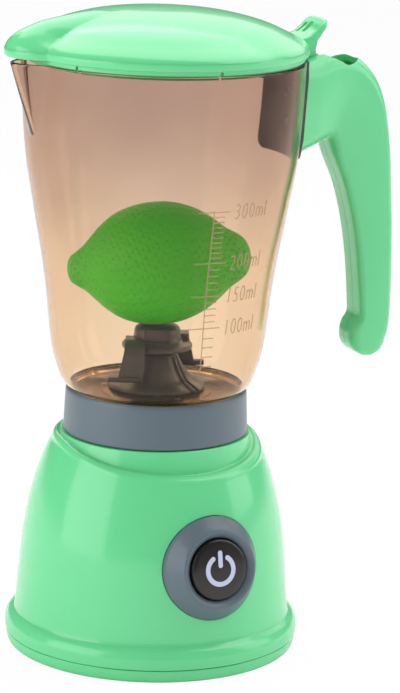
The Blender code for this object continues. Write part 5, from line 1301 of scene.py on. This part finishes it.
@dataclass
class Lid:
    """The domed lid with its nose, band, skirt and thumb tab."""

    lip_r: float = 0.0512
    lip_z: float = 0.2159
    lip_top: float = 0.2187
    top: float = 0.2315
    inner_drop: float = 0.0020
    rings: int = 44
    nose: float = 0.0080
    nose_half: tuple[Point2, ...] = (
        (0.0, 0.0), (0.33, 0.0), (0.36, 4.0), (0.42, 8.0), (0.49, 10.8), (0.60, 12.4), (0.85, 12.8),
        (0.92, 13.4), (1.0, 15.6),
    )
    shift: float = -0.0030
    hinge_x: float = 0.0546
    hinge_z: float = 0.2114
    knuckle_r: float = 0.0025
    skirt_r: float = 0.0479
    fuller: tuple[Point2, ...] = (
        (0.0, 0.0), (0.33, 0.0), (0.40, 0.0008), (0.50, 0.0011), (0.60, 0.0014), (0.70, 0.0019),
        (0.80, 0.0024), (0.88, 0.0026), (0.94, 0.0022), (0.98, 0.0012), (1.0, 0.0),
    )
    dome: tuple[Point2, ...] = (
        (0.0, 1.0), (0.20, 0.977), (0.34, 0.93), (0.48, 0.855), (0.60, 0.75), (0.75, 0.565), (0.86, 0.36),
        (0.94, 0.20), (0.985, 0.08), (1.0, 0.0),
    )
    tab_half: float = 0.0080
    tab_power: float = 0.45
    tab_line: tuple[tuple[float, ...], ...] = (
        (0.0496, 0.2182, 0.0018, 1.0), (0.0518, 0.2187, 0.0019, 1.0), (0.0540, 0.2194, 0.0019, 1.0),
        (0.0557, 0.2206, 0.0018, 1.0), (0.0571, 0.2221, 0.0015, 1.0), (0.0583, 0.2236, 0.0013, 1.0),
        (0.0593, 0.2249, 0.0010, 0.94), (0.0599, 0.2257, 0.0008, 0.80), (0.0602, 0.2262, 0.0004, 0.56),
    )
    grips: tuple[tuple[float, ...], ...] = (
        (0.0002, 0.0012, 0.0024, 0.0028), (0.0040, 0.0008, 0.0034, 0.0018),
    )

    def _nosed(self, radius: float, height: float, angle: float) -> Vector:
        """Return a lid point with the nose pushed out and filled, and the top drawn to one side."""
        share = radius / self.lip_r
        half = math.radians(read_curve(self.nose_half, share))
        swell = max(0.0, 1.0 - (off_spout(angle) / half) ** 2) if half > 0.0 else 0.0
        push = self.nose * share * swell
        lift = swell * read_curve(self.fuller, share) * max(0.0, min(1.0, (height - self.lip_top) / 0.0006))
        aside = Vector((self.shift * max(0.0, 1.0 - share), 0.0, 0.0))
        return polar(radius + push, height + lift, angle) + aside

    def build(self, finishes: Finishes) -> None:
        """Model the lid as one closed shell and add its tab and knuckle."""

        def dome_z(share: float) -> float:
            """Return the dome's height at a share of its radius."""
            return self.lip_top + (self.top - self.lip_top) * read_curve(self.dome, share)

        inner = self.skirt_r - 0.0013
        outside = [(self.lip_r * share, dome_z(share)) for share in (
            math.sin(0.5 * math.pi * step / self.rings) ** 0.9 for step in range(self.rings))]
        edge = rounded([(self.lip_r * 0.992, self.lip_top + 0.0004), (self.lip_r, self.lip_top - 0.0003),
                        (self.lip_r - 0.0002, self.lip_z + 0.0003), (self.lip_r - 0.0008, self.lip_z),
                        (0.0500, self.lip_z)], (0, 0.0008, 0.0006, 0.0004, 0), 5)
        band = [(0.0497, self.lip_z), (0.0496, self.lip_z - 0.0003), (0.0496, 0.2145), (0.0494, 0.2143),
                (self.skirt_r, 0.2143), (self.skirt_r, 0.2129), (self.skirt_r - 0.0002, 0.2127),
                (inner, 0.2127), (inner, self.lip_z)]
        under = [(inner * share, dome_z(share) - self.inner_drop) for share in (
            mix(0.86, 0.0, step / 12) for step in range(1, 13))]
        rows = [*outside, *edge, *band, *under]
        plain = range(len(outside) + len(edge), len(outside) + len(edge) + len(band))

        def ring(row: int, number: int, angle: float) -> Vector:
            """Return the point of a ring, with the steps drawn together near the nose."""
            angle += 0.6 * math.sin(angle)
            return polar(*rows[row], angle) if row in plain else self._nosed(*rows[row], angle)

        lid = Shop.wrapped("flip_lid", len(rows), 288, ring, Ends.POINTS)
        Shop.merge(lid, [Shop.slab("slot", (inner - 0.0015, -0.0005, 0.2112), (0.04985, 0.0005, 0.2156),
                                   spin(30.0 + 60.0 * number)) for number in range(6)])
        lid = Shop.joined("flip_lid", [lid, self._tab()])
        Shop.soften(lid, 35.0)
        dress(lid, finishes.mint, Body.LID, Slot.MINT, "lid")

    def _tab(self) -> bpy.types.Object:
        """Model the thumb tab: a leaning tongue with two grip slots, grown out of the knuckle."""
        wide = self.tab_half
        centre = flow(self.tab_line, 5)

        def tongue(row: int, number: int, angle: float) -> Vector:
            """Return the point of a cross-section of the tongue."""
            x, z, thick, width = centre[row]
            before, after = centre[max(row - 1, 0)], centre[min(row + 1, len(centre) - 1)]
            run = Vector((after[0] - before[0], after[1] - before[1])).normalized()
            side, lift = (math.copysign(abs(part) ** self.tab_power, part) * size for part, size in
                          ((math.cos(angle), wide * width), (math.sin(angle), thick)))
            return Vector((x - run.y * lift, side, z + run.x * lift))

        tab = Shop.wrapped("tab", len(centre), 32, tongue, Ends.FILLED)
        outline = [
            (0.0500, self.lip_z + 0.0003), (0.0500, 0.2180), (0.0525, 0.2186), (0.0548, 0.2196),
            (0.0560, 0.2198), (0.0557, 0.2180), (0.0552, 0.2160), (0.0555, 0.2142), (0.0567, 0.2126),
            *((self.hinge_x + self.knuckle_r * math.cos(t), self.hinge_z + self.knuckle_r * math.sin(t))
              for t in (math.radians(degrees) for degrees in range(10, -181, -10))),
            (self.hinge_x - self.knuckle_r, self.lip_z + 0.0003),
        ]
        Shop.merge(tab, [Shop.prism("block", outline, (-wide, wide), upright)], "UNION")
        hinge = along((self.hinge_x, 0.0, self.hinge_z), (0.0, 1.0, 0.0))
        cuts = [Shop.bar("pin", 0.0015, -0.010, 0.010, hinge, 32)]
        lean = Matrix.Translation((0.0568, 0.0, 0.2219)) @ spin(-50.0, "Y")
        cuts += [Shop.slab("grip", (-back, across - half, 0.0004), (ahead, across + half, 0.004), lean,
                           0.0006)
                 for across, half, back, ahead in self.grips]
        return Shop.merge(tab, cuts)


@dataclass
class Impeller:
    """The dark impeller: a squat hub on a plate with two swept, turned-down arms."""

    top: float = 0.1181
    hub_r: float = 0.0084
    plate_r: float = 0.0134
    plate_z: float = 0.1096
    plate: float = 0.0020
    face: float = 0.0147
    thick: float = 0.0018
    foot: float = 0.0999
    turns: tuple[float, float] = (65.7, 245.7)
    sides: tuple[Point2, ...] = (
        (-0.0136, -0.0112), (-0.0133, -0.0106), (-0.0048, -0.0044), (-0.0045, -0.0041),
    )

    def _arm(self, turn: Matrix) -> list[bpy.types.Object]:
        """Model one arm, whose sides lean from foot to top, and the lip at its foot."""
        low, high, face, thick = self.plate_z, self.plate_z + self.plate, self.face, self.thick
        outline = rounded([
            (0.0025, low), (0.0025, high + 0.0024), (0.0085, high + 0.0024), (face, high + 0.0012),
            (face, self.foot), (face - thick, self.foot), (face - thick, low), (0.0025, low),
        ], (0, 0.0003, 0.0020, 0.0042, 0.0002, 0.0002, 0.0009, 0), 8)[:-1]
        span = high + 0.0010 - self.foot
        lip = Shop.slab("lip", (face - 0.9 * thick, -0.0170, self.foot),
                        (face + 0.0013, -0.0057, self.foot + 0.0018), turn, 0.0004)
        arm = Shop.prism("arm", outline, self.sides, lambda x, z, side: turn @ Vector(
            (x, mix(*side, smooth((z - self.foot) / span)), z)))
        return [arm, lip]

    def build(self, finishes: Finishes) -> None:
        """Model the hub by turning it, then join the arms and sink the pockets."""
        low, high, rim = self.plate_z, self.plate_z + self.plate, self.plate_r - 0.0008
        shares = flow([(0.0, 1.0), (0.45, 0.995), (0.70, 0.97), (0.86, 0.90), (0.95, 0.78), (0.99, 0.62),
                       (1.0, 0.48)], 4)
        body = Shop.turned("mixer", [
            *((self.hub_r * share, mix(high, self.top, up)) for share, up in shares),
            (self.hub_r + 0.0001, high + 0.0022), (self.hub_r + 0.0004, high + 0.0014),
            (0.0096, high + 0.0005), (0.0108, high + 0.0001), (rim - 0.0004, high - 0.0003),
            (rim, high - 0.0008), (rim, low + 0.0002), (rim - 0.0002, low), (0.0019, low),
            (0.0019, 0.1143), (0.0, 0.1143)], 96, HERE, 35.0)
        parts: list[bpy.types.Object] = []
        cuts: list[bpy.types.Object] = []
        for turn in (spin(degrees) for degrees in self.turns):
            parts += self._arm(turn)
            cuts.append(Shop.slab("pocket", (0.0062, -0.0045, high + 0.0010),
                                  (0.0100, 0.0045, self.top - 0.0008), turn, 0.0006))
        Shop.merge(body, parts, "UNION")
        Shop.merge(body, cuts)
        Shop.soften(body, 35.0)
        dress(body, finishes.dark, Body.IMPELLER, Slot.DARK_SMOKE, "impeller")


@dataclass
class Lime:
    """The loose toy lime, with the pores of a citrus fruit."""

    length: float = 0.0660
    radius: float = 0.0219
    turn: float = -23.5
    tilt: float = 6.0
    centre_z: float = 0.1403
    unevenness: float = 0.012
    pores: int = 1350
    pore_r: float = 0.00098
    pore_depth: float = 0.00055
    golden_angle: float = 2.399963
    outline: tuple[Point2, ...] = (
        (0.0, 0.0), (0.006, 0.12), (0.022, 0.21), (0.055, 0.285), (0.095, 0.37), (0.14, 0.51), (0.20, 0.69),
        (0.28, 0.86), (0.38, 0.965), (0.49, 1.0), (0.60, 0.970), (0.71, 0.855), (0.80, 0.68), (0.87, 0.50),
        (0.93, 0.385), (0.97, 0.28), (0.992, 0.14), (1.0, 0.0),
    )

    def _skin(self, at: float, radius: float, angle: float) -> Vector:
        """Return a point of the lying lime at a share of its length."""
        return Vector((self.length * (at - 0.5), radius * math.cos(angle), radius * math.sin(angle)))

    def _pores(self, line: Sequence[Sequence[float]]) -> mathutils.kdtree.KDTree:
        """Spread the pores' centres evenly over the skin, a little unevenly like on a fruit."""
        areas = [(0.0, 0.0)]
        for before, after in zip(line, line[1:]):
            run = math.hypot(self.length * (after[0] - before[0]), self.radius * (after[1] - before[1]))
            areas.append((areas[-1][0] + run * (before[1] + after[1]), after[0]))
        whole = areas[-1][0]
        places = [(area / whole, place) for area, place in areas[::6] + areas[-1:]]
        sizes = line[::4] + line[-1:]
        tree = mathutils.kdtree.KDTree(self.pores)
        for number in range(self.pores):
            at = read_curve(places, (number + 0.5) / self.pores)
            size = read_curve(sizes, at) * self.radius
            stray = 0.30 * math.sin(12.9898 * number) * 0.002 / max(size, 0.002)
            tree.insert(self._skin(at, size, self.golden_angle * number + stray), number)
        tree.balance()
        return tree

    def build(self, finishes: Finishes) -> None:
        """Model the lime from a smooth outline with gentle unevenness and sunken pores."""
        line = flow(self.outline, 14)
        pores = self._pores(line)
        placed = Matrix.Translation((0.0, 0.0, self.centre_z)) @ spin(self.turn) @ spin(-self.tilt, "Y")

        def point(row: int, number: int, angle: float) -> Vector:
            """Return the point of a ring across the lime."""
            at, size = line[row]
            uneven = 1.0 + self.unevenness * math.sin(3.0 * angle + 4.0 * at) * math.sin(math.pi * at)
            radius = max(0.0, self.radius * size * min(uneven, 1.0))
            near = 1.0 - pores.find(self._skin(at, self.radius * size, angle))[2] / self.pore_r
            return placed @ self._skin(at, max(0.0, radius - self.pore_depth * smooth(near)), angle)

        lime = Shop.wrapped("toy_fruit", len(line), 280, point, Ends.POINTS)
        Shop.soften(lime, 60.0)
        dress(lime, finishes.lime, Body.LIME, Slot.GREEN, "lime")


def numbered(stem: str, count: int) -> list[str]:
    """Return the names of a row of like solids."""
    return [f"{stem}_{number}" for number in range(1, count + 1)]


class InnerWorks:
    """The solids inside, which keep their shape and get their finishes."""

    plain = {
        "steel": ["motor_can", "motor_shaft", "impeller_spindle", "hinge_pin", *numbered("cover_screw", 4),
                  *numbered("neck_screw", 3), *numbered("handle_screw", 3), *numbered("bracket_screw", 2),
                  *numbered("spigot_screw", 3)],
        "brass": ["contact_bridge", "jug_bush", *numbered("contact_plate", 2),
                  *numbered("contact_spring", 2)],
        "white": ["motor_holder", "motor_coupling", "jug_coupling", "switch_cradle", "switch_plunger"],
        "black": ["battery_tray", "push_switch"],
        "brown": ["handle_bracket"],
        "cell": numbered("battery", 2),
    }

    def dress_all(self, finishes: Finishes) -> None:
        """Give each solid that stays its finish."""
        for finish, names in self.plain.items():
            for name in names:
                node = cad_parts[name]
                node.data.materials.clear()
                node.data.materials.append(getattr(finishes, finish))
            log.info("%s: %d solids", finish, len(names))


@dataclass(frozen=True)
class SoftBox:
    """One lamp: its place to the right, away and up from the camera's side, its size and its power."""

    name: str
    place: tuple[float, float, float]
    size: Point2
    watts: float
    on_matt: bool = True


@dataclass
class Studio:
    """Camera, lamps, floor and background."""

    camera_place: tuple[float, float, float] = (-0.4446, -1.0225, 0.3720)
    heading: float = 24.29
    down: float = 13.23
    roll: float = 1.58
    lens: float = 287.4
    view_turn: float = 23.5
    aim: tuple[float, float, float] = (0.0, 0.0, 0.12)
    boxes: tuple[SoftBox, ...] = (
        SoftBox("box_top", (0.20, 0.35, 1.05), (1.9, 0.8), 9.6),
        SoftBox("box_sheen", (0.30, 1.30, 0.92), (2.2, 0.8), 6.5, on_matt=False),
        SoftBox("box_left", (-0.90, -0.45, 0.42), (0.9, 0.9), 5.0),
        SoftBox("box_right", (1.05, 0.05, 0.50), (0.6, 0.8), 2.5),
    )
    sky_unseen: float = 0.58
    sky_mirrored_less: float = 0.43
    floor_glow: float = 0.95

    def place_camera(self) -> None:
        """Add the camera at the photograph's place and angle."""
        heading, down, roll = (math.radians(a) for a in (self.heading, self.down, self.roll))
        level = math.cos(down)
        forward = Vector((math.sin(heading) * level, math.cos(heading) * level, -math.sin(down)))
        right = Vector((math.cos(heading), -math.sin(heading), 0.0))
        upward = right.cross(forward)
        x = right * math.cos(roll) + upward * math.sin(roll)
        y = upward * math.cos(roll) - right * math.sin(roll)
        data = bpy.data.cameras.new("view")
        data.lens = self.lens
        data.sensor_width = 36.0
        data.sensor_fit = "HORIZONTAL"
        data.clip_start = 0.05
        camera = bpy.data.objects.new("view", data)
        turned = Matrix((x, y, -forward)).transposed()
        camera.matrix_world = Matrix.Translation(self.camera_place) @ turned.to_4x4()
        bpy.context.scene.collection.objects.link(camera)
        bpy.context.scene.camera = camera

    def light(self) -> None:
        """Add the soft boxes and the white surroundings."""
        for box in self.boxes:
            data = bpy.data.lights.new(box.name, "AREA")
            data.shape = "RECTANGLE"
            data.size, data.size_y = box.size
            data.energy = box.watts
            lamp = bpy.data.objects.new(box.name, data)
            spot = spin(-self.view_turn) @ Vector(box.place)
            lamp.matrix_world = along(spot, spot - Vector(self.aim))
            lamp.visible_diffuse = box.on_matt
            bpy.context.scene.collection.objects.link(lamp)
        bench = Bench(bpy.data.worlds.new("surroundings"), "World")
        strength = bench.seen() * (1.0 - self.sky_unseen) + self.sky_unseen
        strength -= bench.ray("Glossy") * self.sky_mirrored_less
        bpy.context.scene.world = bench.show(bench.node("ShaderNodeBackground", {
            "Color": (1.0, 1.0, 1.0), "Strength": strength}))

    def lay_floor(self) -> None:
        """Add the pale floor, which keeps a soft shadow."""
        Shop.pick()
        bpy.ops.mesh.primitive_plane_add(size=8.0, location=(0.0, 0.0, -0.0001))
        floor = Shop.settle("floor")
        bench = Bench.material("floor_white")
        plain = bench.node("ShaderNodeBsdfDiffuse", {"Color": (0.90, 0.90, 0.90)})
        glow = bench.node("ShaderNodeEmission", {"Color": (1.0, 1.0, 1.0), "Strength": 1.0})
        floor.data.materials.append(bench.show(bench.node("ShaderNodeMixShader", {
            0: bench.seen() * self.floor_glow, 1: plain.outputs[0], 2: glow.outputs[0]})))


def main() -> None:
    """Build the toy and its studio."""
    logging.basicConfig(level=logging.INFO, format="%(message)s")
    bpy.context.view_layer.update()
    finishes = Finishes()
    housing = BaseHousing()
    button = PowerButton()
    housing.build_shell(finishes, button)
    housing.build_cover(finishes)
    housing.build_collar(finishes)
    button.build_bezel(finishes, housing)
    button.build_button(finishes)
    jug = Jug()
    jug.build_body(finishes)
    jug.build_scale(finishes)
    jug.build_spigot(finishes)
    jug.build_cone(finishes)
    handle = Handle()
    handle.build_pad(finishes, jug)
    handle.build_half("handle_front", -1.0, finishes, jug, "handle_front_half")
    handle.build_half("handle_rear", 1.0, finishes, jug, "handle_rear_half")
    Lid().build(finishes)
    Impeller().build(finishes)
    Lime().build(finishes)
    InnerWorks().dress_all(finishes)
    studio = Studio()
    studio.place_camera()
    studio.light()
    studio.lay_floor()
    bpy.context.scene.view_settings.view_transform = "Standard"


if __name__ == "__main__":
    main()
